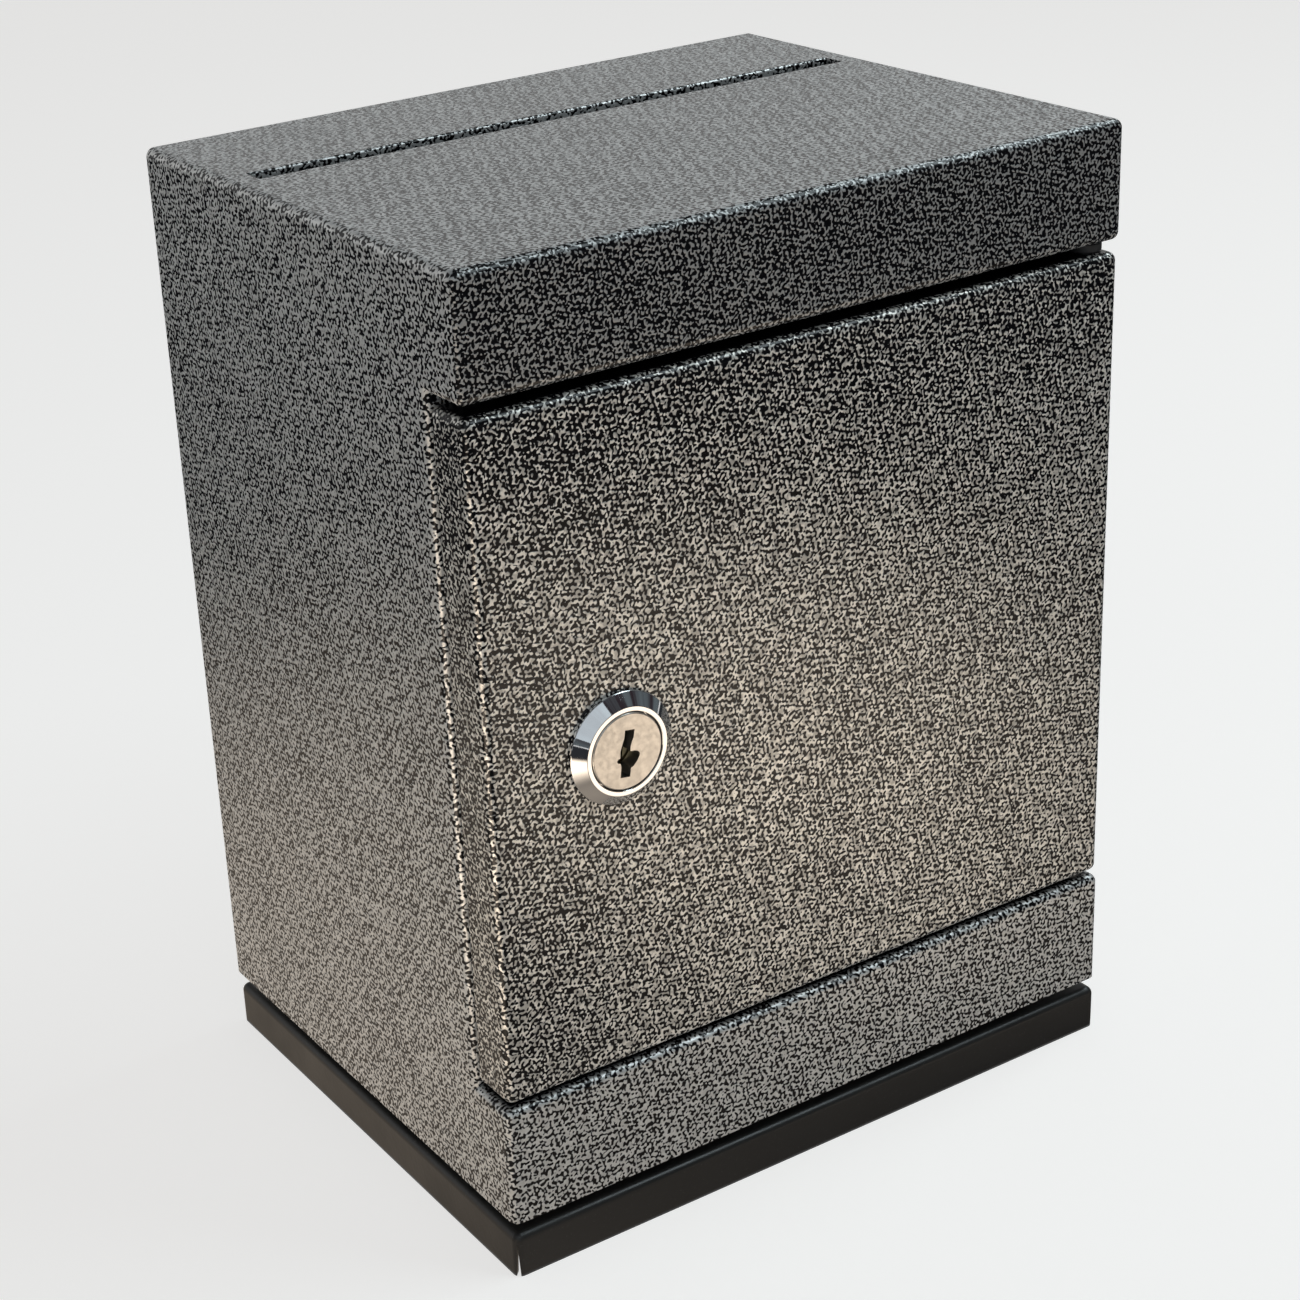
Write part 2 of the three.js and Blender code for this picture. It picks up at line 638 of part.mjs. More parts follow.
// A cranked cam: its hub sits on the square tail and its tip comes forward to just behind the jamb.
function lockCam() {
  const outline = new THREE.Shape();
  const tipCorner = CAM_REACH - CAM_HALF_WIDTH / 2;
  outline.moveTo(0, -CAM_HUB_RADIUS);
  outline.lineTo(CAM_BEND_START, -CAM_HALF_WIDTH);
  outline.lineTo(tipCorner, -CAM_HALF_WIDTH);
  outline.absarc(tipCorner, -CAM_HALF_WIDTH / 2, CAM_HALF_WIDTH / 2, -Math.PI / 2, 0, false);
  outline.absarc(tipCorner, CAM_HALF_WIDTH / 2, CAM_HALF_WIDTH / 2, 0, Math.PI / 2, false);
  outline.lineTo(CAM_BEND_START, CAM_HALF_WIDTH);
  outline.absarc(0, 0, CAM_HUB_RADIUS, Math.PI / 2, (3 * Math.PI) / 2, false);
  const flat = plateXZ(outline, CAM_TIP_FRONT - PAST, tailEnd + PAST);

  const hubEdge = -CAM_HUB_RADIUS - PAST;
  const tipEdge = CAM_REACH + PAST;
  const profile = new THREE.Shape([
    [hubEdge, camFront], [CAM_BEND_START, camFront], [CAM_BEND_END, CAM_TIP_FRONT],
    [tipEdge, CAM_TIP_FRONT], [tipEdge, CAM_TIP_FRONT + CAM_THICKNESS],
    [CAM_BEND_END + CAM_THICKNESS / 2, CAM_TIP_FRONT + CAM_THICKNESS],
    [CAM_BEND_START + CAM_THICKNESS / 2, tailEnd], [hubEdge, tailEnd],
  ].map(([x, y]) => new THREE.Vector2(x, y)));
  const height = 2 * CAM_HUB_RADIUS + 2 * PAST;
  const strip = new THREE.ExtrudeGeometry(profile, { depth: height, bevelEnabled: false });
  strip.translate(0, 0, -height / 2);
  return cut(flat.intersect(solid(strip)), squareHole(camFront, tailEnd));
}

function camSpringWasher() {
  const back = springWasherFront + SPRING_WASHER_THICKNESS;
  const split = block(
    [0, CAM_SCREW_HEAD_RADIUS + PAST],
    [springWasherFront - PAST, back + PAST],
    [-SPRING_WASHER_SPLIT / 2, SPRING_WASHER_SPLIT / 2],
  );
  return cut(
    rodY(CAM_SCREW_HEAD_RADIUS, springWasherFront, back),
    rodY(CAM_SCREW_RADIUS + GAP, springWasherFront - PAST, back + PAST),
    split,
  );
}

function camScrew() {
  const headBack = camScrewHeadFront + CAM_SCREW_HEAD_HEIGHT;
  return joined(
    rodY(CAM_SCREW_HEAD_RADIUS, camScrewHeadFront, headBack),
    rodY(CAM_SCREW_RADIUS, CAM_SCREW_END, headBack - PAST),
  );
}

addPiece(lock, 'lock_housing', lockHousing(), finishes.chrome);
addPiece(lock, 'lock_plug', lockPlug(), finishes.nickel);
waferPlaces.forEach((y, i) => {
  addPiece(lock, `lock_wafer_${i + 1}`, wafer(y), finishes.brass);
  addPiece(lock, `wafer_spring_${i + 1}`, waferSpring(y), finishes.springSteel);
});
addPiece(lock, 'lock_tooth_washer', toothWasher(), finishes.zinc);
addPiece(lock, 'lock_nut', lockNut(), finishes.zinc);
addPiece(lock, 'cam_stop_washer', stopWasher(), finishes.zinc);
addPiece(lock, 'lock_cam', lockCam(), finishes.zinc);
addPiece(lock, 'cam_spring_washer', camSpringWasher(), finishes.springSteel);
addPiece(lock, 'cam_screw', camScrew(), finishes.zinc);

export default safe;
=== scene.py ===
"""A small steel money safe with a silver-vein finish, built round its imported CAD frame.

Shapes are laid out in millimetres from the cabinet's front left corner at floor level, with +X to the
right of a person facing the door, +Y to the back and +Z up. Each finished mesh is then carried into the
frame, which is in metres. The lock's parts are laid out round the lock's own axis.
"""
import itertools
import json
import math

import bmesh
import bpy
from mathutils import Matrix, Vector

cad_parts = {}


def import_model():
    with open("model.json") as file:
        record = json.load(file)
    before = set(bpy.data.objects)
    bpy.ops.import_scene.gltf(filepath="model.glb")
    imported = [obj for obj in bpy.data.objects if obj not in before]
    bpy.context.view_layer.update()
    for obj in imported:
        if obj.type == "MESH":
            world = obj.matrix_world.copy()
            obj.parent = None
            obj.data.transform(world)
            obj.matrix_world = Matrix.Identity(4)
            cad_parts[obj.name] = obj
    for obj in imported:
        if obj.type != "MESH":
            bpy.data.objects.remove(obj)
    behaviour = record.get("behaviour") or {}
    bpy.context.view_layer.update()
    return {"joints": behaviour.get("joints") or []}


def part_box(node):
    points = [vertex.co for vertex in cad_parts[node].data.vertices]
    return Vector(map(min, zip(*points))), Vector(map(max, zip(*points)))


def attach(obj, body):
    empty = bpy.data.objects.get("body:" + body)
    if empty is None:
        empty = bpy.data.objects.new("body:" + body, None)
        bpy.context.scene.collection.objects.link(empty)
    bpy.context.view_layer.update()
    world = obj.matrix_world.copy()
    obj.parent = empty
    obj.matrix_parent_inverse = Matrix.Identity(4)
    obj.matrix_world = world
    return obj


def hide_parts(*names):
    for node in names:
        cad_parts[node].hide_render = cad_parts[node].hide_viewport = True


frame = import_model()

# ------------ places read from the frame

MM = 0.001
CORNER = Vector((*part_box("body_shell")[0].xy, 0.0))
TO_FRAME = Matrix.Translation(CORNER) @ Matrix.Scale(MM, 4)


def in_mm(place):
    """A place of the frame, in millimetres from the cabinet's corner."""
    return (Vector(place) - CORNER) / MM


def span(node):
    """A node's lowest and highest corners, in millimetres from the cabinet's corner."""
    return tuple(in_mm(end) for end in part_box(node))


def depth_span(node):
    """How far forward and how far back a node reaches."""
    low, high = span(node)
    return low.y, high.y


def joint_place(name):
    return in_mm(next(joint["pos_m"] for joint in frame["joints"] if joint["name"] == name))


SHELL_LOW, SHELL_HIGH = span("body_shell")
DOOR_LOW, DOOR_HIGH = span("door_pan")
BACK_LOW, BACK_HIGH = span("back_panel")
FLOOR_LOW, FLOOR_HIGH = span("floor_pan")
PLINTH_LOW, PLINTH_HIGH = span("plinth")
HINGE = joint_place("door_hinge")
LOCK = joint_place("lock_turn")

# ------------ driving dimensions, millimetres

WIDTH = SHELL_HIGH.x
DEPTH = SHELL_HIGH.y
HEIGHT = SHELL_HIGH.z
SHEET = 1.2
BITE = 1.0          # how far a cutting shape runs past the face that it cuts

DOOR_GAP_ABOVE = 2.0
DOOR_GAP_BELOW = 1.2
HEADER_BOTTOM = DOOR_HIGH.z + DOOR_GAP_ABOVE
SILL_TOP = DOOR_LOW.z - DOOR_GAP_BELOW
NOTCH_DEPTH = DOOR_HIGH.y + 1.2
RETURN_DEPTH = 16.0
JAMB_EDGE = 13.0

SLOT_LENGTH = 124.0
SLOT_FRONT = 70.8
SLOT_BACK = 75.4
SLOT_LIP_DEPTH = 4.0

FOLD = 1.6          # outer radius of the cabinet's folds
DOOR_FOLD = 1.6
INNER_FOLD = 0.6
TIGHT_INNER_FOLD = 0.3
SLOT_FOLD = 0.5
SLOT_NEAR_ROUND = 0.35
PLINTH_FOLD = 1.5
CORNER_SLIT_WIDTH = 0.9
CORNER_SLIT_HEIGHT = 6.4
HOLE_SIDES = 48

LOCK_TILT = math.radians(9.0)
PIN_HOLE_RADIUS = 1.8
FIXING_HOLE_RADIUS = 2.25
BARREL_HOLE_RADIUS = 8.3
BARREL_HOLE_FLAT = 7.3

# ------------ node materials


def new_material(name):
    """An empty node material: its tree, and the Principled shader in it."""
    material = bpy.data.materials.new(name)
    material.use_nodes = True
    tree = material.node_tree
    return material, tree, tree.nodes["Principled BSDF"]


def node(tree, kind, inputs=None, **settings):
    """Adds a node. An input's value is a number, a colour, a vector or another node's output."""
    made = tree.nodes.new(kind)
    for key, value in settings.items():
        setattr(made, key, value)
    return plugged(tree, made, inputs or {})


def plugged(tree, made, inputs):
    """Gives a node its inputs, by name or number."""
    for key, value in inputs.items():
        if isinstance(value, bpy.types.NodeSocket):
            tree.links.new(value, made.inputs[key])
        else:
            made.inputs[key].default_value = value
    return made


def maths(tree, operation, *values):
    return node(tree, "ShaderNodeMath", dict(enumerate(values)), operation=operation).outputs[0]


def vector_maths(tree, operation, a, b):
    return node(tree, "ShaderNodeVectorMath", {0: a, 1: b}, operation=operation).outputs[0]


def turned_place(tree, angles, stretch=(1.0, 1.0, 1.0)):
    """The surface's place in the object, turned and stretched so that textures don't line up with it."""
    place = node(tree, "ShaderNodeTexCoord").outputs["Object"]
    mapping = node(tree, "ShaderNodeMapping", {"Vector": place, "Rotation": angles, "Scale": stretch})
    return mapping.outputs[0]


def noise(tree, place, scale, detail=2.0, roughness=0.5, output="Fac"):
    inputs = {"Vector": place, "Scale": scale, "Detail": detail, "Roughness": roughness}
    return node(tree, "ShaderNodeTexNoise", inputs).outputs[output]


def step_between(tree, value, low, high, to_low=0.0, to_high=1.0):
    """A smooth step from to_low to to_high as value runs from low to high."""
    inputs = {0: value, 1: low, 2: high, 3: to_low, 4: to_high}
    return node(tree, "ShaderNodeMapRange", inputs, interpolation_type="SMOOTHSTEP").outputs[0]


def mixed(tree, share, a, b):
    """Colour a where share is 0 and colour b where it is 1."""
    return node(tree, "ShaderNodeMix", {0: share, 6: a, 7: b}, data_type="RGBA").outputs[2]


def bump(tree, height, strength, distance):
    inputs = {"Height": height, "Strength": strength, "Distance": distance}
    return node(tree, "ShaderNodeBump", inputs).outputs[0]


GOLDEN = (1 + math.sqrt(5)) / 2
WAVE_AXES = (
    (0, 1, GOLDEN), (0, -1, GOLDEN),
    (1, GOLDEN, 0), (-1, GOLDEN, 0),
    (GOLDEN, 0, 1), (GOLDEN, 0, -1),
)


def labyrinth(tree, place, pitch, drift_scale=640.0, drift=9.0):
    """A tangle of even stripes, from -1 to 1: waves along six well-spread axes, each with a phase that
    drifts, and what counts is where their sum is in its cycle. The pitch is in metres."""
    drifts = []
    for turn in ((0.2, 0.9, 0.4), (2.3, 1.7, 0.8)):
        mapping = node(tree, "ShaderNodeMapping", {"Vector": place, "Rotation": turn})
        colour = noise(tree, mapping.outputs[0], drift_scale, 0.0, output="Color")
        drifts += list(node(tree, "ShaderNodeSeparateXYZ", {0: colour}).outputs)
    in_step, quarter_on = 0.0, 0.0
    for number, (axis, phase) in enumerate(zip(WAVE_AXES, drifts)):
        length = pitch * (0.92 + 0.03 * number)
        along = Vector(axis).normalized() * (2 * math.pi / length)
        wave = node(tree, "ShaderNodeVectorMath", {0: place, 1: along}, operation="DOT_PRODUCT")
        angle = maths(tree, "MULTIPLY_ADD", phase, drift, wave.outputs["Value"])
        in_step = maths(tree, "ADD", maths(tree, "COSINE", angle), in_step)
        quarter_on = maths(tree, "ADD", maths(tree, "SINE", angle), quarter_on)
    return maths(tree, "COSINE", maths(tree, "ARCTAN2", quarter_on, in_step))


def object_axes(tree):
    place = node(tree, "ShaderNodeTexCoord").outputs["Object"]
    return node(tree, "ShaderNodeSeparateXYZ", {0: place}).outputs


def header_zone(tree):
    """1 on the header strip, 0 elsewhere: fewer veins there, with a darker tone and a finer pitch."""
    axes = object_axes(tree)
    bottom = (TO_FRAME @ Vector((0, 0, HEADER_BOTTOM))).z
    front = TO_FRAME.translation.y
    high = maths(tree, "GREATER_THAN", axes["Z"], bottom - 1.0 * MM)
    near = maths(tree, "LESS_THAN", axes["Y"], front + 0.8 * MM)
    return maths(tree, "MULTIPLY", high, near)


def door_shade_zone(tree):
    """Rises to 1 at the door's top and halfway there at its left edge: painted shade, fewer veins there so
    the door is darker towards its top and left edge.
    """
    axes = object_axes(tree)
    left = TO_FRAME.translation.x
    high = step_between(tree, axes["Z"], 110 * MM, 158 * MM)
    side = step_between(tree, axes["X"], left + 4 * MM, left + 32 * MM, 0.5, 0.0)
    return maths(tree, "MAXIMUM", high, side)


def painted_gap_shade(tree, levels):
    """1 on the faces inside the gaps over and under the door, where the veins are left out as painted shade
    so these faces stay black.
    """
    axes = object_axes(tree)
    left, front, _ = TO_FRAME.translation
    total = 0.0
    for level in levels:
        total = maths(tree, "ADD", maths(tree, "COMPARE", axes["Z"], level * MM, 0.4 * MM), total)
    behind = step_between(tree, axes["Y"], front + 1.0 * MM, front + 2.2 * MM)
    ahead = maths(tree, "LESS_THAN", axes["Y"], front + 30 * MM)
    to_side = maths(tree, "ABSOLUTE", axes["X"])
    inside = step_between(tree, to_side, -left - 2.0 * MM, -left - 1.0 * MM, 1.0, 0.0)
    at_level = maths(tree, "MULTIPLY", total, inside)
    return maths(tree, "MULTIPLY", at_level, maths(tree, "MULTIPLY", behind, ahead))


def dimmed(colour, share):
    """The colour at a share of its brightness, as the four numbers that a socket takes."""
    return (*(share * part for part in colour), 1)


def vein_paint(name, pitch, share, silver, tones, shade_gap_levels, sparse_vein_zone, zone_veins=None):
    """Silver-vein powder coat: raised silver veins, over a share of the gloss black that is under them.

    The veins differ in brightness between the two tones. Where the zone is 1 there is less silver, and the
    veins there can have a pitch and a tone of their own. On the door the zone is painted shade.
    """
    material, tree, shader = new_material(name)
    zone = sparse_vein_zone(tree)
    place = turned_place(tree, (0.65, 0.37, 0.92))
    tone = step_between(tree, noise(tree, place, 0.6 / pitch), 0.36, 0.64)
    bright = mixed(tree, tone, dimmed(silver, tones[0]), dimmed(silver, tones[1]))
    coverage = maths(tree, "MULTIPLY_ADD", noise(tree, place, 60.0), 0.6, -0.3)
    # Fewer veins where the zone is 1; on the door this is painted shade, darker towards its top and left
    # edge.
    offset = maths(tree, "MULTIPLY_ADD", zone, -0.52, coverage)
    if zone_veins:
        zone_pitch, zone_tone = zone_veins
        bright = mixed(tree, zone, bright, dimmed(silver, zone_tone))
        finer = maths(tree, "MULTIPLY_ADD", zone, pitch / zone_pitch - 1, 1.0)
        scaled = node(tree, "ShaderNodeVectorMath", {"Vector": place, "Scale": finer}, operation="SCALE")
        place = scaled.outputs[0]
    field = maths(tree, "ADD", labyrinth(tree, place, pitch), offset)
    edge = math.cos(math.pi * share)
    vein = step_between(tree, field, edge - 0.35, edge + 0.45)
    # Painted shade: no veins on the faces inside the gaps over and under the door, so they stay black.
    vein = maths(tree, "MULTIPLY", vein, maths(tree, "SUBTRACT", 1.0, painted_gap_shade(tree, shade_gap_levels)))
    plugged(tree, shader, {
        "Base Color": mixed(tree, vein, (0.002, 0.002, 0.003, 1), bright),
        "Metallic": maths(tree, "MULTIPLY", vein, 0.65),
        "Roughness": maths(tree, "MULTIPLY_ADD", vein, 0.22, 0.20),
        "Specular IOR Level": 0.28,
        "Normal": bump(tree, vein, 0.7, 0.00009),
    })
    return material


def satin_black():
    """Smooth satin black paint with a fine orange peel and a little dust."""
    material, tree, shader = new_material("black_paint")
    place = turned_place(tree, (0.4, 0.7, 0.2))
    patches = noise(tree, place, 60.0, 3.0)
    grains = noise(tree, place, 2600.0, 2.0)
    dust = step_between(tree, grains, 0.66, 0.74, 0.0, 0.5)
    paint = mixed(tree, patches, (0.010, 0.010, 0.010, 1), (0.018, 0.017, 0.016, 1))
    plugged(tree, shader, {
        "Base Color": mixed(tree, dust, paint, (0.06, 0.058, 0.052, 1)),
        "Roughness": step_between(tree, patches, 0.3, 0.7, 0.32, 0.44),
        "Normal": bump(tree, noise(tree, place, 900.0, 1.0), 0.25, 0.00008),
    })
    return material


def plated_metal(name, dark, bright, roughness, scratch=0.1, grain=(1.0, 1.0, 1.0), mottle_scale=350.0):
    """Plated or bare metal: mottled colour, roughness that varies, and fine scratches."""
    material, tree, shader = new_material(name)
    place = turned_place(tree, (0.3, 0.5, 0.9))
    mottle = noise(tree, place, mottle_scale, 4.0, 0.6)
    smear = noise(tree, place, 900.0, 3.0)
    lines = noise(tree, turned_place(tree, (0.0, 0.0, 0.0), grain), 2500.0, 2.0)
    plugged(tree, shader, {
        "Base Color": mixed(tree, mottle, (*dark, 1), (*bright, 1)),
        "Metallic": 1.0,
        "Roughness": step_between(tree, smear, 0.3, 0.7, *roughness),
        "Normal": bump(tree, lines, scratch, 0.00003),
    })
    return material


def black_nylon():
    material, tree, shader = new_material("black_nylon")
    place = turned_place(tree, (0.9, 0.1, 0.5))
    flow = noise(tree, place, 400.0, 3.0)
    plugged(tree, shader, {
        "Base Color": mixed(tree, flow, (0.012, 0.012, 0.013, 1), (0.03, 0.03, 0.031, 1)),
        "Roughness": step_between(tree, flow, 0.3, 0.7, 0.45, 0.65),
        "Normal": bump(tree, noise(tree, place, 3500.0, 2.0), 0.3, 0.00004),
    })
    return material


MATERIALS = {
    "vein_paint": vein_paint(
        "vein_paint", 0.00088, 0.54, (0.68, 0.68, 0.67), (0.9, 1.1),
        (SILL_TOP, HEADER_BOTTOM), header_zone, (0.00076, 0.62)),
    # The door's zone is painted shade: fewer veins, so the door is darker towards its top and left edge.
    "door_vein_paint": vein_paint(
        "door_vein_paint", 0.00084, 0.51, (0.70, 0.68, 0.64), (0.68, 1.3),
        (DOOR_LOW.z, DOOR_HIGH.z), door_shade_zone),
    "black_paint": satin_black(),
    "chrome": plated_metal("chrome", (0.74, 0.75, 0.77), (0.84, 0.85, 0.86), (0.03, 0.07), 0.02),
    "nickel": plated_metal("nickel", (0.50, 0.48, 0.45), (0.70, 0.68, 0.65), (0.28, 0.38), 0.3,
                           (0.15, 1.0, 1.0), 1600.0),
    "zinc": plated_metal("zinc", (0.46, 0.48, 0.50), (0.66, 0.67, 0.66), (0.22, 0.40), 0.2),
    "brass": plated_metal("brass", (0.32, 0.25, 0.14), (0.50, 0.41, 0.25), (0.28, 0.42), 0.15),
    "spring_steel": plated_metal("spring_steel", (0.22, 0.22, 0.23), (0.42, 0.42, 0.43), (0.22, 0.34)),
    "black_nylon": black_nylon(),
}

# ------------ mesh tools


def new_object(name, mesh):
    piece = bpy.data.objects.new(name, mesh)
    bpy.context.scene.collection.objects.link(piece)
    return piece


def mesh_object(name, bm, matrix=None):
    """Turns a bmesh into an object, with its faces pointing out, and frees the bmesh."""
    bmesh.ops.recalc_face_normals(bm, faces=bm.faces)
    mesh = bpy.data.meshes.new(name)
    bm.to_mesh(mesh)
    bm.free()
    if matrix is not None:
        mesh.transform(matrix)
    return new_object(name, mesh)


def settled(piece):
    """Applies the piece's modifiers to its mesh."""
    evaluated = piece.evaluated_get(bpy.context.evaluated_depsgraph_get())
    mesh = bpy.data.meshes.new_from_object(evaluated)
    piece.modifiers.clear()
    old = piece.data
    piece.data = mesh
    bpy.data.meshes.remove(old)
    return piece


def combine(piece, operation, *others):
    """Cuts the others out of the piece, joins them to it or keeps what they share, and removes them."""
    for other in others:
        step = piece.modifiers.new("combine", "BOOLEAN")
        step.operation = operation
        step.solver = "EXACT"
        step.object = other
    settled(piece)
    for other in others:
        bpy.data.objects.remove(other)
    return piece


def shaded(piece, sharp_above=35.0):
    """Smooth shading that breaks at edges sharper than the angle, in degrees."""
    mesh = piece.data
    mesh.polygons.foreach_set("use_smooth", [True] * len(mesh.polygons))
    mesh.set_sharp_from_angle(angle=math.radians(sharp_above))
    weighted = piece.modifiers.new("weighted_normals", "WEIGHTED_NORMAL")
    weighted.keep_sharp = True
    weighted.weight = 80
    return piece


def finished(piece, node_name, material, body, look=None):
    """Gives a piece its material slot, look and body, in place of the CAD node."""
    piece.data.materials.clear()
    piece.data.materials.append(MATERIALS[look or material])
    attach(piece, body)
    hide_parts(node_name)
    return shaded(piece)


def skin(bm, rings):
    """Faces between each ring of vertices and the next."""
    for first, second in zip(rings, rings[1:]):
        for i in range(len(first)):
            j = (i + 1) % len(first)
            bm.faces.new((first[i], first[j], second[j], second[i]))


def capped(bm, rings):
    """Closes both ends of a skin."""
    bm.faces.new(rings[0][::-1])
    bm.faces.new(rings[-1])


def flat_square(name, half, height):
    """A level square round the origin, in the frame's own metres."""
    bm = bmesh.new()
    bm.faces.new([bm.verts.new((a, b, height)) for a, b in rectangle(half, half)])
    return mesh_object(name, bm)


def broken_edges(piece, width, segments=2, angle=50.0):
    """Rounds every edge that is sharper than the angle."""
    bevel = piece.modifiers.new("broken_edges", "BEVEL")
    bevel.width = width
    bevel.segments = segments
    bevel.limit_method = "ANGLE"
    bevel.angle_limit = math.radians(angle)
    return settled(piece)


# ------------ folded sheet


def fold_places(low, high, radius, steps=5):
    """Grid lines along one axis of a rounded block: close together over each rounded edge."""
    bends = [radius * (1 - math.tan(math.pi / 4 * (1 - i / steps))) for i in range(steps + 1)]
    return [low + bend for bend in bends] + [high - bend for bend in reversed(bends)]


def rounded_block(low, high, radius):
    """A block between two corners with every edge and corner rounded."""
    lines = [fold_places(low[axis], high[axis], radius) for axis in range(3)]
    bm = bmesh.new()
    corners = {}

    def corner(index):
        if index not in corners:
            grid = Vector([lines[axis][index[axis]] for axis in range(3)])
            core = Vector([
                min(max(grid[axis], low[axis] + radius), high[axis] - radius) for axis in range(3)])
            corners[index] = bm.verts.new(core + (grid - core).normalized() * radius)
        return corners[index]

    last = len(lines[0]) - 1
    for axis, side in itertools.product(range(3), (0, last)):
        u, v = (axis + 1) % 3, (axis + 2) % 3
        for i, j in itertools.product(range(last), repeat=2):
            loop = []
            for du, dv in ((0, 0), (1, 0), (1, 1), (0, 1)):
                index = [0, 0, 0]
                index[axis], index[u], index[v] = side, i + du, j + dv
                loop.append(corner(tuple(index)))
            bm.faces.new(loop)
    return mesh_object("rounded_block", bm, TO_FRAME)


def block(x, y, z):
    """A plain block between two limits on each axis, for cutting with."""
    corners = [(a, b) for a, b in ((x[0], y[0]), (x[1], y[0]), (x[1], y[1]), (x[0], y[1]))]
    return outline_prism("block", corners, z[0], z[1], TO_FRAME)


def joined(*pieces):
    return combine(pieces[0], "UNION", *pieces[1:])


def cut(piece, *cutters):
    return combine(piece, "DIFFERENCE", *cutters)


def named(piece, name):
    piece.name = piece.data.name = name
    return piece


def outline_prism(name, outline, low, high, matrix):
    """An outline on two axes, extruded along the third from low to high, before the matrix."""
    bm = bmesh.new()
    verts = [bm.verts.new((a, b, low)) for a, b in outline]
    face = bm.faces.new(verts)
    made = bmesh.ops.extrude_face_region(bm, geom=[face])
    moved = [item for item in made["geom"] if isinstance(item, bmesh.types.BMVert)]
    bmesh.ops.translate(bm, verts=moved, vec=(0, 0, high - low))
    return mesh_object(name, bm, matrix)


def rectangle(half_across, half_up):
    return [(a * half_across, b * half_up) for a, b in ((-1, -1), (1, -1), (1, 1), (-1, 1))]


def on_circle(radius, turn):
    return radius * math.cos(turn), radius * math.sin(turn)


def circle(radius, sides=HOLE_SIDES, start=0.0, end=2 * math.pi):
    """Points round a circle, or along an arc with both its ends."""
    whole = abs(end - start - 2 * math.pi) < 1e-9
    count = sides if whole else sides + 1
    return [on_circle(radius, start + (end - start) * i / sides) for i in range(count)]


def upright_at(x, y):
    """The matrix for a shape whose own axis stands upright at a place on the plan."""
    return TO_FRAME @ Matrix.Translation((x, y, 0))


def drill(x, y, radius, low, high):
    """A cutter for an upright round hole from low to high."""
    return outline_prism("drill", circle(radius), low - BITE, high + BITE, upright_at(x, y))


def pin_hole(low, high):
    return drill(HINGE.x, HINGE.y, PIN_HOLE_RADIUS, low, high)


# The lock's axes: a to the right of its face, b towards the back, c up, and everything turned a little.
LOCK_FRAME = TO_FRAME @ Matrix.Translation(LOCK) @ Matrix.Translation((0, -LOCK.y, 0))
LOCK_FRAME = LOCK_FRAME @ Matrix.Rotation(LOCK_TILT, 4, "Y")
TOWARDS_BACK = Matrix(((1, 0, 0, 0), (0, 0, 1, 0), (0, -1, 0, 0), (0, 0, 0, 1)))
LOCK_TURNED = LOCK_FRAME @ TOWARDS_BACK     # for shapes whose own axis is Z: Z runs to the back


def double_flat(radius, flat):
    """A circle cut off by a flat on each side."""
    return [(max(-flat, min(flat, a)), b) for a, b in circle(radius, 2 * HOLE_SIDES)]


# ------------ cabinet


def slot_cutter(slot_x):
    """The slot's cut, flared over the rear edge, which is folded down."""
    fold = [(SLOT_BACK + SLOT_FOLD - a, HEIGHT - SLOT_FOLD + b)
            for a, b in circle(SLOT_FOLD, 6, math.pi / 2, 0.0)]
    near = [(SLOT_FRONT - SLOT_NEAR_ROUND + a, HEIGHT - SLOT_NEAR_ROUND + b)
            for a, b in circle(SLOT_NEAR_ROUND, 4, 0.0, math.pi / 2)]
    below, above = HEIGHT - SHEET - BITE, HEIGHT + BITE
    outline = [(SLOT_BACK, below), (SLOT_FRONT, below), *near, (near[-1][0], above),
               (fold[0][0], above), *fold]
    along_x = Matrix(((0, 0, 1, 0), (1, 0, 0, 0), (0, 1, 0, 0), (0, 0, 0, 1)))
    return outline_prism("slot", outline, slot_x[0], slot_x[1], TO_FRAME @ along_x)


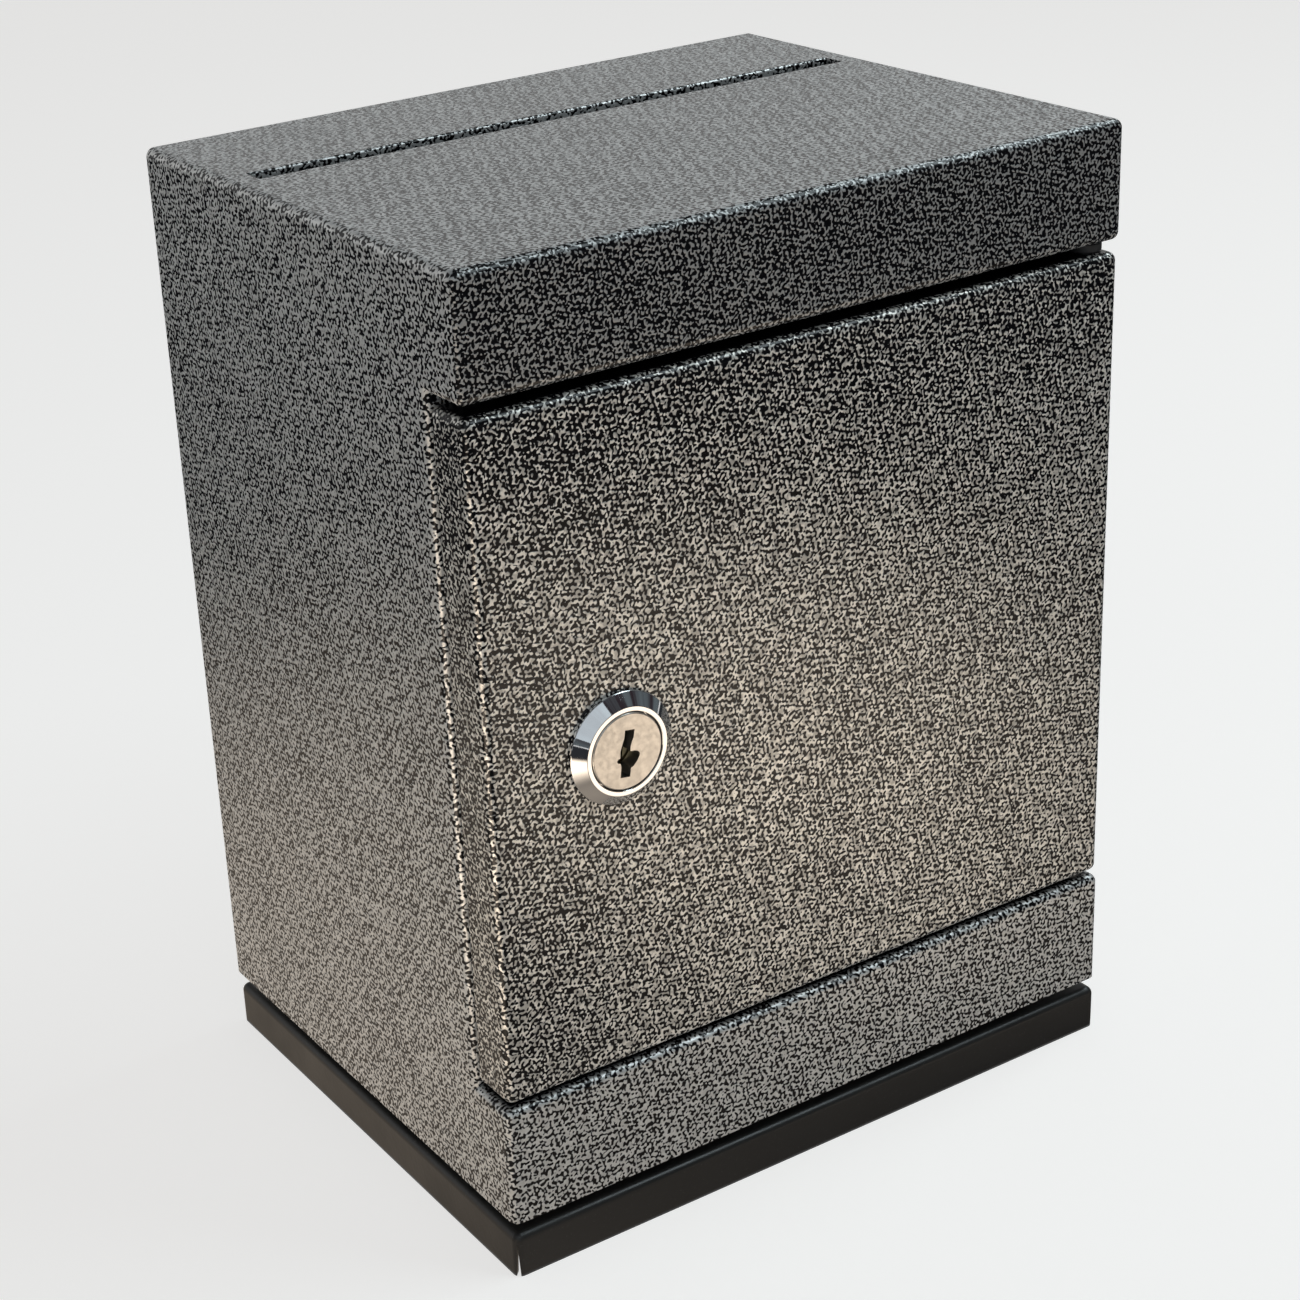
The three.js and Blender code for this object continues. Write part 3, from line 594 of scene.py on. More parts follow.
def body_shell():
    """Sides, top with its slot, header, sill and left jamb, folded from one sheet."""
    bottom = SHELL_LOW.z

    # Blocks run on past the shell's open back and bottom, each to a plane of its own, because
    # planes that coincide spoil a cut. The trims then take off what is past the shell.
    beyond, apart = 12.0, 2.0

    def past_back(number):
        return DEPTH + beyond + apart * number

    def past_bottom(number):
        return bottom - beyond - apart * number

    outside = joined(
        rounded_block((0, NOTCH_DEPTH, past_bottom(0)), (WIDTH, past_back(0), HEIGHT), FOLD),
        rounded_block((0, 0, HEADER_BOTTOM), (WIDTH, past_back(1), HEIGHT), FOLD),
        rounded_block((0, 0, past_bottom(1)), (WIDTH, past_back(2), SILL_TOP), FOLD),
    )
    near, far = SHEET, WIDTH - SHEET
    raw_edge = block(
        (far, WIDTH), (NOTCH_DEPTH, NOTCH_DEPTH + 2 * FOLD), (SILL_TOP - FOLD, HEADER_BOTTOM + FOLD))
    joined(outside, raw_edge)
    hollow_limits = [
        ((near, SHEET, HEADER_BOTTOM + SHEET), (far, past_back(3), HEIGHT - SHEET)),
        ((near, SHEET, past_bottom(3)), (far, past_back(4), SILL_TOP - SHEET)),
        ((near, RETURN_DEPTH, past_bottom(4)), (far, past_back(5), HEIGHT - SHEET)),
        ((near, NOTCH_DEPTH + SHEET, SILL_TOP), (far, past_back(6), HEADER_BOTTOM)),
    ]
    hollows = [rounded_block(low, high, INNER_FOLD) for low, high in hollow_limits]
    trims = [
        block((-BITE, WIDTH + BITE), (DEPTH, past_back(7)), (past_bottom(5), HEIGHT + BITE)),
        block((-2 * BITE, WIDTH + 2 * BITE), (-BITE, DEPTH + BITE), (past_bottom(6), bottom)),
        block((JAMB_EDGE, far), (NOTCH_DEPTH - BITE, RETURN_DEPTH), (SILL_TOP, HEADER_BOTTOM)),
    ]
    slot_x = ((WIDTH - SLOT_LENGTH) / 2, (WIDTH + SLOT_LENGTH) / 2)
    piece = cut(outside, *hollows, *trims)
    lip = block(slot_x, (SLOT_BACK, SLOT_BACK + SHEET), (HEIGHT - SLOT_LIP_DEPTH, HEIGHT - SHEET / 2))
    joined(piece, lip)
    holes = [pin_hole(HEADER_BOTTOM, HEADER_BOTTOM + SHEET), pin_hole(SILL_TOP - SHEET, SILL_TOP)]
    cut(piece, slot_cutter(slot_x), *holes)
    return finished(named(piece, "safe_cabinet"), "body_shell", "vein_paint", "cabinet")


def floor_pan():
    """A tray that closes the bottom, with its lips turned up inside the walls."""
    low, high = FLOOR_LOW, FLOOR_HIGH
    rise = Vector((0, 0, 2 * FOLD))
    wall = Vector((SHEET, SHEET, 0))
    piece = rounded_block(low, high + rise, FOLD)
    hollow = rounded_block(low + wall + Vector((0, 0, SHEET)), high + 2 * rise - wall, INNER_FOLD)
    rim = block(
        (low.x - BITE, high.x + BITE), (low.y - BITE, high.y + BITE), (high.z, high.z + 3 * FOLD))
    cut(piece, hollow, rim, *fixing_drills(low.z))
    return finished(named(piece, "safe_floor"), "floor_pan", "vein_paint", "cabinet")


def back_panel():
    """The back, flush with the shell's rear edges, with lips turned forward at the sides and top."""
    low, high = BACK_LOW, BACK_HIGH
    floor_clearance = 0.3
    lip_bottom = FLOOR_HIGH.z + floor_clearance
    edge_round = 0.9
    run = 3 * FOLD
    piece = rounded_block((low.x, low.y - run, low.z - run), high, edge_round)
    hollow = rounded_block(
        (low.x + SHEET, low.y - 2 * run, low.z - 2 * run),
        (high.x - SHEET, high.y - SHEET, high.z - SHEET), TIGHT_INNER_FOLD)
    across = (low.x - BITE, high.x + BITE)
    trims = [
        block(across, (low.y - 3 * run, low.y), (low.z - 3 * run, high.z + BITE)),
        block(across, (low.y - BITE, high.y + BITE), (low.z - 3 * run, low.z)),
        block(across, (low.y - BITE, high.y - SHEET), (low.z - BITE, lip_bottom)),
    ]
    cut(piece, hollow, *trims)
    return finished(named(piece, "safe_back"), "back_panel", "vein_paint", "cabinet")


# ------------ plinth and its fixings


def fixing_places():
    """The middle of each plinth fixing on the plan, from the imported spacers."""
    for number in range(1, 5):
        low, high = span(f"plinth_spacer_{number}")
        yield number, (low.x + high.x) / 2, (low.y + high.y) / 2


def fixing_drills(low):
    return [drill(x, y, FIXING_HOLE_RADIUS, low, low + SHEET) for _, x, y in fixing_places()]


def corner_slit(side_x, side_y):
    """A wedge that opens a corner between two skirts, widest at the floor."""
    half = CORNER_SLIT_WIDTH / 2
    outline = [(-half, -BITE), (half, -BITE), (0.05, CORNER_SLIT_HEIGHT), (-0.05, CORNER_SLIT_HEIGHT)]
    upright = Matrix.Rotation(math.pi / 2, 4, "X")
    corner = Matrix.Translation((WIDTH if side_x > 0 else 0, DEPTH if side_y > 0 else 0, 0))
    diagonal = Matrix.Rotation(-side_x * side_y * math.pi / 4, 4, "Z")
    return outline_prism("slit", outline, -2 * SHEET, 2 * SHEET, TO_FRAME @ corner @ diagonal @ upright)


def plinth():
    """A shallow pan with its skirts folded down and its corners left open."""
    low, high = PLINTH_LOW, PLINTH_HIGH
    drop = Vector((0, 0, 3 * PLINTH_FOLD))
    wall = Vector((SHEET, SHEET, SHEET))
    piece = rounded_block(low - drop, high, PLINTH_FOLD)
    hollow = rounded_block(low - 2 * drop + wall, high - wall, 0.4)
    under = block((low.x - BITE, high.x + BITE), (low.y - BITE, high.y + BITE), (-4 * PLINTH_FOLD, 0))
    slits = [corner_slit(side_x, side_y) for side_x in (-1, 1) for side_y in (-1, 1)]
    cut(piece, hollow, under, *fixing_drills(high.z - SHEET), *slits)
    return finished(named(piece, "safe_plinth"), "plinth", "black_paint", "cabinet")


# ------------ turned parts


def rounded(points, closed=True, steps=4):
    """An outline of (a, b) or (a, b, radius) points, with an arc at each corner that has a radius."""
    result = []
    count = len(points)
    for i, point in enumerate(points):
        here = Vector(point[:2])
        ends = not closed and i in (0, count - 1)
        if len(point) < 3 or point[2] == 0 or ends:
            result.append(tuple(here))
            continue
        before = (Vector(points[i - 1][:2]) - here).normalized()
        after = (Vector(points[(i + 1) % count][:2]) - here).normalized()
        half = before.angle(after) / 2
        reach = point[2] / math.tan(half)
        start, end = here + before * reach, here + after * reach
        weight = math.sin(half)
        for step in range(steps + 1):
            t = step / steps
            parts = ((1 - t) ** 2, 2 * weight * t * (1 - t), t ** 2)
            total = start * parts[0] + here * parts[1] + end * parts[2]
            result.append(tuple(total / sum(parts)))
    return result


def turned(name, section, matrix, sides=64):
    """A solid of revolution about Z from (radius, height) points; on the axis, or closed on itself."""
    bm = bmesh.new()
    rings = []
    for radius, height in section:
        if radius < 1e-6:
            rings.append([bm.verts.new((0, 0, height))])
        else:
            rings.append([bm.verts.new((a, b, height)) for a, b in circle(radius, sides)])
    on_axis = len(rings[0]) == 1 and len(rings[-1]) == 1
    pairs = zip(rings, rings[1:] if on_axis else rings[1:] + rings[:1])
    for first, second in pairs:
        for i in range(sides):
            j = (i + 1) % sides
            if len(first) == 1:
                bm.faces.new((first[0], second[i], second[j]))
            elif len(second) == 1:
                bm.faces.new((first[i], second[0], first[j]))
            else:
                bm.faces.new((first[i], second[i], second[j], first[j]))
    return mesh_object(name, bm, matrix)


def cross_recess(matrix, size, depth, top):
    """Cutters for a cross recess that narrows as it goes in."""
    arms = []
    for quarter in (0, 1):
        bm = bmesh.new()
        near, far = size / 2, size / 3.4
        thick, thin = size / 8, size / 11
        for height, reach, half in ((top + 0.3, near, thick), (top - depth, far, thin)):
            for a, b in rectangle(reach, half):
                bm.verts.new((a, b, height))
        bmesh.ops.convex_hull(bm, input=bm.verts)
        turn = Matrix.Rotation(quarter * math.pi / 2, 4, "Z")
        arms.append(mesh_object("recess", bm, matrix @ turn))
    return arms


def plinth_fixings():
    for number, x, y in fixing_places():
        place = upright_at(x, y)
        nylon_ring(f"plinth_spacer_{number}", place, FIXING_HOLE_RADIUS, 0.2, 0.3)
        plinth_screw(f"plinth_screw_{number}", place)
        plinth_nut(f"plinth_nut_{number}", place)


def radius_of(node_name):
    low, high = span(node_name)
    return (high.x - low.x) / 2


def nylon_ring(node_name, place, bore, inner_round, outer_round):
    """A moulded washer or spacer that fills its node."""
    low, high = span(node_name)
    outer = radius_of(node_name)
    section = rounded([
        (bore, low.z, inner_round), (outer, low.z, outer_round),
        (outer, high.z, outer_round), (bore, high.z, inner_round),
    ])
    finished(turned(node_name + "_moulded", section, place), node_name, "black_nylon", "cabinet")


def threaded_rod(name, matrix, radius, low, high, pitch, depth, sides=40, bore=0.0):
    """A rod with a helical thread cut into it, its ends faded to the root; it may have a bore."""
    bm = bmesh.new()
    steps = max(2, round((high - low) / pitch * 6))
    heights = [low + (high - low) * i / steps for i in range(steps + 1)]
    rings = []
    for height in heights:
        fade = min(1.0, (height - low) / pitch, (high - height) / pitch)
        ring = []
        for i in range(sides):
            turn = 2 * math.pi * i / sides
            phase = (height / pitch - i / sides) % 1.0
            ridge = 1 - abs(2 * phase - 1)
            out = radius - depth * (1 - ridge * max(0.0, fade))
            ring.append(bm.verts.new((*on_circle(out, turn), height)))
        rings.append(ring)
    if bore > 0:
        for height in (high, low):
            rings.append([bm.verts.new((a, b, height)) for a, b in circle(bore, sides)])
        skin(bm, rings + rings[:1])
    else:
        capped(bm, rings)
        skin(bm, rings)
    return mesh_object(name, bm, matrix)


def pan_head_screw(name, matrix, low, high, shank, head, under_round, rim, crown, recess, thread_depth):
    """A screw with its domed, cross-recessed head at the high end; the recess is its size and depth."""
    head_low = high - 2.0
    neck = shank - 0.3
    section = rounded([
        (0, head_low - 0.6), (neck, head_low - 0.6), (neck, head_low, 0.1), (head, head_low, under_round),
        (head, head_low + rim, 0.5), (crown, high - 0.05, 0.6), (0, high),
    ], closed=False)
    piece = turned(name, section, matrix)
    cut(piece, *cross_recess(matrix, *recess, high))
    return joined(piece, threaded_rod("shank", matrix, shank, low, head_low - 0.1, 0.7, thread_depth))


def plinth_screw(node_name, place):
    low, high = span(node_name)
    piece = pan_head_screw(
        node_name + "_turned", place, low.z, high.z, shank=1.9, head=radius_of(node_name),
        under_round=0.25, rim=0.9, crown=2.2, recess=(4.2, 1.2), thread_depth=0.28)
    finished(piece, node_name, "zinc", "cabinet")


def chamfered_nut(name, matrix, across_flats, low, high, bore):
    """A hexagon whose corners are turned away at both ends, round a chamfered bore."""
    corner = across_flats / math.sqrt(3)
    flat = across_flats / 2
    slope = (corner - flat) * 0.9
    section = rounded([
        (bore, low + 0.4, 0), (bore + 0.4, low), (flat * 0.97, low, 0.1), (corner + 0.2, low + slope),
        (corner + 0.2, high - slope), (flat * 0.97, high, 0.1), (bore + 0.4, high), (bore, high - 0.4),
    ])
    piece = turned(name, section, matrix, 72)
    prism = outline_prism("hexagon", circle(corner, 6), low - BITE, high + BITE, matrix)
    combine(piece, "INTERSECT", prism)
    return broken_edges(piece, 0.12 * MM, 2, 40.0)


def plinth_nut(node_name, place):
    low, high = span(node_name)
    across = high.y - low.y
    piece = chamfered_nut(node_name + "_milled", place, across, low.z, high.z, FIXING_HOLE_RADIUS - 0.1)
    finished(piece, node_name, "zinc", "cabinet")


# ------------ door and hinge sets

HINGE_PLACE = upright_at(HINGE.x, HINGE.y)


def door_pan():
    """The door's skin with flanges turned back on all four sides, and the lock's double-D hole."""
    low, high = DOOR_LOW, DOOR_HIGH
    run = Vector((0, 3 * DOOR_FOLD, 0))
    piece = rounded_block((low.x, 0, low.z), high + run, DOOR_FOLD)
    hollow = rounded_block(
        (low.x + SHEET, SHEET, low.z + SHEET), high + 2 * run - Vector((SHEET, 0, SHEET)), INNER_FOLD)
    rim = block(
        (low.x - BITE, high.x + BITE), (high.y, high.y + 4 * DOOR_FOLD), (low.z - BITE, high.z + BITE))
    hole = double_flat(BARREL_HOLE_RADIUS, BARREL_HOLE_FLAT)
    holes = [
        outline_prism("lock_hole", hole, -BITE, SHEET + BITE, LOCK_TURNED),
        pin_hole(low.z, low.z + SHEET),
        pin_hole(high.z - SHEET, high.z),
    ]
    cut(piece, hollow, rim, *holes)
    return finished(named(piece, "safe_door"), "door_pan", "vein_paint", "door", "door_vein_paint")


def hinge_pin(node_name, out):
    """A headed pin with a groove for its clip; out is +1 where the tail points up."""
    low, high = span(node_name)
    head = radius_of(node_name)
    head_end, tail_end = (low.z, high.z) if out > 0 else (high.z, low.z)
    radius, groove = 1.5, 0.9
    shoulder = head_end + out * 1.5
    groove_far = tail_end - out * 1.2
    groove_near = groove_far - out * 0.9
    section = rounded([
        (0, head_end), (head, head_end, 0.35), (head, shoulder, 0.15), (radius, shoulder, 0.1),
        (radius, groove_near, 0.08), (groove, groove_near, 0.08), (groove, groove_far, 0.08),
        (radius, groove_far, 0.08), (radius, tail_end, 0.4), (0, tail_end),
    ], closed=False)
    finished(turned(node_name + "_turned", section, HINGE_PLACE), node_name, "zinc", "cabinet")


def pin_clip(node_name):
    """A C-shaped clip: three inner lugs grip the groove, and its mouth opens to the back."""
    low, high = span(node_name)
    outer, grip, waist = radius_of(node_name), 1.2, 1.55
    mouth = math.radians(34.0)
    start = math.pi / 2 + mouth
    end = math.pi / 2 + 2 * math.pi - mouth
    outside = circle(outer, 40, start, end)
    inside = []
    for a, b in circle(1.0, 40, end, start):
        turn = math.atan2(b, a)
        lug = 0.5 + 0.5 * math.cos(3 * (turn + math.pi / 2))
        reach = waist + (grip - waist) * lug
        inside.append((reach * a, reach * b))
    piece = outline_prism(node_name + "_stamped", outside + inside, low.z, high.z, HINGE_PLACE)
    broken_edges(piece, 0.08 * MM)
    finished(piece, node_name, "spring_steel", "cabinet")


def hinges():
    for name, out in (("upper", -1), ("lower", 1)):
        hinge_pin(f"{name}_hinge_pin", out)
        nylon_ring(f"{name}_hinge_washer", HINGE_PLACE, PIN_HOLE_RADIUS, 0.12, 0.15)
        pin_clip(f"{name}_pin_clip")


# ------------ lock

FACE, BARREL_END = depth_span("lock_housing")       # the bezel's front is the plug's front too
TAIL_END = depth_span("lock_plug")[1]
BEZEL_RADIUS = 10.0
FRONT_RING = 7.85
HEAD_BORE = 7.0
HEAD_RADIUS = 6.8
HEAD_DEPTH = 1.5
BARREL_RADIUS = 8.0
BARREL_FLAT = 7.0
BORE_RADIUS = 5.9
PLUG_RADIUS = 5.6
KEYWAY_END = 11.5
TAIL_HALF = 3.0
WAFER_COUNT = 5


def wafer_places():
    """Each wafer's number, and its front and back on the lock's axis."""
    for number in range(1, WAFER_COUNT + 1):
        yield number, *depth_span(f"lock_wafer_{number}")


def lock_housing():
    """Bezel and barrel in one casting, with a thread, side flats and a recess for the stop lug."""
    seat = FACE + HEAD_DEPTH + 0.3
    section = rounded([
        (BORE_RADIUS, seat, 0.1), (HEAD_BORE, seat, 0.1), (HEAD_BORE, FACE, 0.12),
        (FRONT_RING, FACE, 0.22), (BEZEL_RADIUS, -0.72, 0.25), (BEZEL_RADIUS, -0.08, 0.1),
        (BARREL_RADIUS - 0.4, -0.08, 0.05), (BARREL_RADIUS - 0.4, 1.0), (BORE_RADIUS, 1.0),
    ], steps=5)
    piece = turned("lock_bezel", section, LOCK_TURNED, 160)
    barrel = threaded_rod(
        "barrel", LOCK_TURNED, BARREL_RADIUS, 0.2, BARREL_END, 1.0, 0.45, 72, BORE_RADIUS)
    for vert in barrel.data.vertices:
        local = LOCK_FRAME.inverted() @ vert.co
        local.x = max(-BARREL_FLAT, min(BARREL_FLAT, local.x))
        vert.co = LOCK_FRAME @ local
    joined(piece, barrel)
    slack = math.radians(18.0)
    start, end = -math.pi / 2 - slack, math.pi / 2 + slack
    recess = circle(BARREL_RADIUS + BITE, 24, start, end) + circle(6.6, 24, end, start)
    cutter = outline_prism("recess", recess, BARREL_END - 1.5, BARREL_END + BITE, LOCK_TURNED)
    cut(piece, cutter)
    return finished(piece, "lock_housing", "chrome", "door")


def keyway_outline():
    """The keyway on the plug's face, as (right, up) of the lock's axis: an S with a round side ward."""
    middle_drop = 0.35
    right = [
        (0.95, 4.15), (0.92, 2.75), (0.62, 1.9), (0.50, 1.1), (0.55, 0.35),
    ]
    ward = [
        (1.35, 0.36), (2.05, 0.22), (2.45, -0.15), (2.50, -0.62), (2.25, -1.30), (1.70, -2.15), (1.42, -2.45),
    ]
    foot = [(1.0, -2.62), (1.0, -4.2), (-0.92, -4.2)]
    left = [
        (-0.95, -2.3), (-1.18, -1.65), (-1.62, -1.58), (-1.95, -1.22), (-1.70, -0.78), (-1.34, -0.72),
        (-1.43, 0.6), (-1.15, 1.9), (-0.92, 2.9), (-0.95, 4.15),
    ]
    return [(a, b - middle_drop) for a, b in right + ward + foot + left]


def lock_plug():
    """Turning plug: a satin face with a wafer keyway, slots for the wafers and a square tail."""
    shoulder = BARREL_END + 0.3
    section = rounded([
        (0, FACE), (HEAD_RADIUS, FACE, 0.28), (HEAD_RADIUS, FACE + HEAD_DEPTH, 0.1),
        (PLUG_RADIUS, FACE + HEAD_DEPTH, 0.1), (PLUG_RADIUS, shoulder, 0.25), (0, shoulder),
    ], closed=False, steps=5)
    piece = turned("lock_plug_turned", section, LOCK_TURNED, 120)
    square = rectangle(TAIL_HALF, TAIL_HALF)
    tail = outline_prism("tail", square, shoulder - BITE, TAIL_END, LOCK_TURNED)
    broken_edges(tail, 0.3 * MM)
    joined(piece, tail)
    keyway = [(a, -b) for a, b in keyway_outline()]
    cutters = [outline_prism("keyway", keyway, FACE - BITE, KEYWAY_END, LOCK_TURNED)]
    play, half, reach = 0.3, 2.9, PLUG_RADIUS + BITE
    ear_half, ear_reach = 2.6, 4.8
    slot = [
        (-half, -reach), (half, -reach), (half, -ear_half), (ear_reach, -ear_half),
        (ear_reach, ear_half), (half, ear_half), (half, reach), (-half, reach),
    ]
    for _, low, high in wafer_places():
        cutters.append(outline_prism("wafer_slot", slot, low - play, high + play, LOCK_TURNED))
    cutters.append(outline_prism("screw_hole", circle(2.0), 12.5, TAIL_END + BITE, LOCK_TURNED))
    cut(piece, *cutters)
    return finished(piece, "lock_plug", "nickel", "lock_cylinder")


def wafers():
    """Flat brass wafers with round ends, a window for the key and an ear for the spring."""
    for number, low, high in wafer_places():
        body_half, end_radius = 2.6, 5.45
        lean = math.asin(body_half / end_radius)
        outline = [
            *circle(end_radius, 12, -math.pi / 2 - lean, -math.pi / 2 + lean),
            (body_half, 1.4), (4.4, 1.4), (4.4, 2.3), (body_half, 2.3),
            *circle(end_radius, 12, math.pi / 2 - lean, math.pi / 2 + lean),
        ]
        piece = outline_prism(f"lock_wafer_{number}_stamped", outline, low, high, LOCK_TURNED)
        window = rectangle(1.3, 4.1)
        cut(piece, outline_prism("window", window, low - BITE, high + BITE, LOCK_TURNED))
        broken_edges(piece, 0.06 * MM, 1)
        finished(piece, f"lock_wafer_{number}", "brass", "lock_cylinder")
        wafer_spring(number, (low + high) / 2)


def wafer_spring(number, middle):
    """A small coil that stands on a wafer's ear."""
    bottom, top, coil, wire, turns, per_turn, sides = -1.2, 2.4, 0.35, 0.09, 5, 16, 8
    bm = bmesh.new()
    rings = []
    for i in range(turns * per_turn + 1):
        turn = 2 * math.pi * i / per_turn
        height = bottom + (top - bottom) * i / (turns * per_turn)
        out = Vector((*on_circle(1.0, turn), 0))
        centre = Vector((3.85, middle, height)) + out * coil
        ring = []
        for a, b in circle(wire, sides):
            ring.append(bm.verts.new(centre + out * a + Vector((0, 0, b))))
        rings.append(ring)
    skin(bm, rings)
    capped(bm, rings)
    piece = mesh_object(f"wafer_spring_{number}_coiled", bm, LOCK_FRAME)
    finished(piece, f"wafer_spring_{number}", "spring_steel", "lock_cylinder")


def tooth_washer():
    """A thin washer whose teeth are each twisted a little."""
    low, high = depth_span("lock_tooth_washer")
    middle, half, twist = (low + high) / 2, 0.22, 0.16
    teeth, inner, root, outer = 12, 8.3, 9.2, 10.8
    bm = bmesh.new()
    columns = []
    profile = (
        (0.0, root, 0), (0.16, root, 0), (0.2, outer, -1), (0.5, outer, 0), (0.8, outer, 1), (0.84, root, 0))
    for tooth in range(teeth):
        for share, reach, lift in profile:
            turn = 2 * math.pi * (tooth + share) / teeth
            ring = []
            for radius, side in ((inner, -1), (reach, -1), (reach, 1), (inner, 1)):
                shift = lift * twist if radius == reach else 0
                ring.append(bm.verts.new((*on_circle(radius, turn), middle + side * half + shift)))
            columns.append(ring)
    skin(bm, columns + columns[:1])
    piece = mesh_object("lock_tooth_washer_stamped", bm, LOCK_TURNED)
    finished(piece, "lock_tooth_washer", "zinc", "door")


def lock_nut():
    low, high = depth_span("lock_nut")
    piece = chamfered_nut("lock_nut_milled", LOCK_TURNED, 19.0, low, high, BARREL_RADIUS + 0.12)
    finished(piece, "lock_nut", "zinc", "door")


def square_cutter(low, high):
    """A cutter for the hole that fits over the plug's square tail."""
    half = TAIL_HALF + 0.2
    return outline_prism("square_hole", rectangle(half, half), low - BITE, high + BITE, LOCK_TURNED)


def stop_washer():
    """A washer on the square tail; its lug runs in the barrel's recess."""
    _, high = depth_span("cam_stop_washer")
    radius, lug_radius, thickness = 7.9, 6.9, 0.5
    front = high - thickness
    piece = outline_prism("cam_stop_washer_stamped", circle(radius, 64), front, high, LOCK_TURNED)
    half = math.radians(15.0)
    up = -math.pi / 2
    lug = circle(radius, 8, up - half, up + half) + circle(lug_radius, 8, up + half, up - half)
    tooth = outline_prism("lug", lug, BARREL_END - 1.2, high - 0.1, LOCK_TURNED)
    joined(piece, tooth)
    cut(piece, square_cutter(front, high))
    broken_edges(piece, 0.08 * MM)
    finished(piece, "cam_stop_washer", "zinc", "lock_cylinder")


def lock_cam():
    """A cranked cam, pressed from strip: its tip comes forward to sit just behind the jamb."""
    hub, reach, half, thickness = 8.0, 21.0, 6.0, 1.6
    bend_start, bend_end = 8.6, 13.0
    corner = 3.0
    jamb_clearance = 0.6
    back = TAIL_END
    tip_back = NOTCH_DEPTH + SHEET + jamb_clearance + thickness

    def half_width(x):
        if x < 0:
            return math.sqrt(max(hub * hub - x * x, 0.0))
        if x < bend_start:
            return hub + (half - hub) * (x / bend_start) ** 1.2
        over = max(0.0, x - (reach - corner))
        return half - corner + math.sqrt(max(corner * corner - over * over, 0.0))

    def back_face(x):
        share = min(1.0, max(0.0, (x - bend_start) / (bend_end - bend_start)))
        ease = share * share * (3 - 2 * share)
        return back + (tip_back - back) * ease

    bm = bmesh.new()
    stations = [-hub * math.cos(math.pi / 2 * i / 14) for i in range(14)]
    stations += [bend_start * i / 6 for i in range(7)]
    stations += [bend_start + (bend_end - bend_start) * i / 12 for i in range(1, 13)]
    stations += [reach - corner + corner * math.sin(math.pi / 2 * i / 10) for i in range(11)]
    rings = []
    for x in stations:
        width = max(half_width(x), 0.02)
        y = back_face(x)
        rings.append([bm.verts.new((x, y - thickness * side, width * up))
                      for side, up in ((0, -1), (0, 1), (1, 1), (1, -1))])
    skin(bm, rings)
    capped(bm, rings)
    piece = mesh_object("lock_cam_pressed", bm, LOCK_FRAME)
    cut(piece, square_cutter(back - thickness, back))
    broken_edges(piece, 0.15 * MM)
    finished(piece, "lock_cam", "zinc", "lock_cylinder")


def cam_spring_washer():
    """A split washer, one end a little proud of the other."""
    low, high = depth_span("cam_spring_washer")
    outer, inner, lift, steps = 3.9, 2.0, 0.12, 48
    gap = math.radians(7.0)
    front, rear = low + lift / 2, high - lift / 2
    section = ((inner, front), (outer, front), (outer, rear), (inner, rear))
    bm = bmesh.new()
    rings = []
    for i in range(steps + 1):
        turn = gap + (2 * math.pi - 2 * gap) * i / steps
        shift = lift * (i / steps - 0.5)
        rings.append([bm.verts.new((*on_circle(radius, turn), place + shift)) for radius, place in section])
    skin(bm, rings)
    capped(bm, rings)
    piece = mesh_object("cam_spring_washer_split", bm, LOCK_TURNED)
    broken_edges(piece, 0.08 * MM)
    finished(piece, "cam_spring_washer", "spring_steel", "lock_cylinder")


def cam_screw():
    piece = pan_head_screw(
        "cam_screw_turned", LOCK_TURNED, *depth_span("cam_screw"), shank=1.7, head=3.9,
        under_round=0.2, rim=1.0, crown=2.4, recess=(4.4, 1.3), thread_depth=0.26)
    finished(piece, "cam_screw", "zinc", "lock_cylinder")


# ------------ stage, light and camera


def floor():
    """A pale matt floor that glows a little, so that it stays nearly white without strong light."""
    piece = flat_square("studio_floor", 3.0, 0.0)
    material, tree, shader = new_material("studio_floor")
    plugged(tree, shader, {
        "Base Color": (0.45, 0.447, 0.44, 1),
        "Roughness": 0.85,
        "Specular IOR Level": 0.0,
        "Emission Color": (1.0, 0.99, 0.975, 1),
        "Emission Strength": 0.68,
    })
    piece.data.materials.append(material)


def light_pool(tree, place, centre, size, strength, angle=0.0):
    """A soft oval of light, in the card's own metres: its half-lengths are the size."""
    mapping = node(tree, "ShaderNodeMapping", {
        "Vector": place, "Location": (*centre, 0), "Rotation": (0, 0, angle), "Scale": (*size, 1),
    }, vector_type="TEXTURE")
    length = node(tree, "ShaderNodeVectorMath", {0: mapping.outputs[0]}, operation="LENGTH")
    return step_between(tree, length.outputs["Value"], 0.2, 1.0, strength, 0.0)


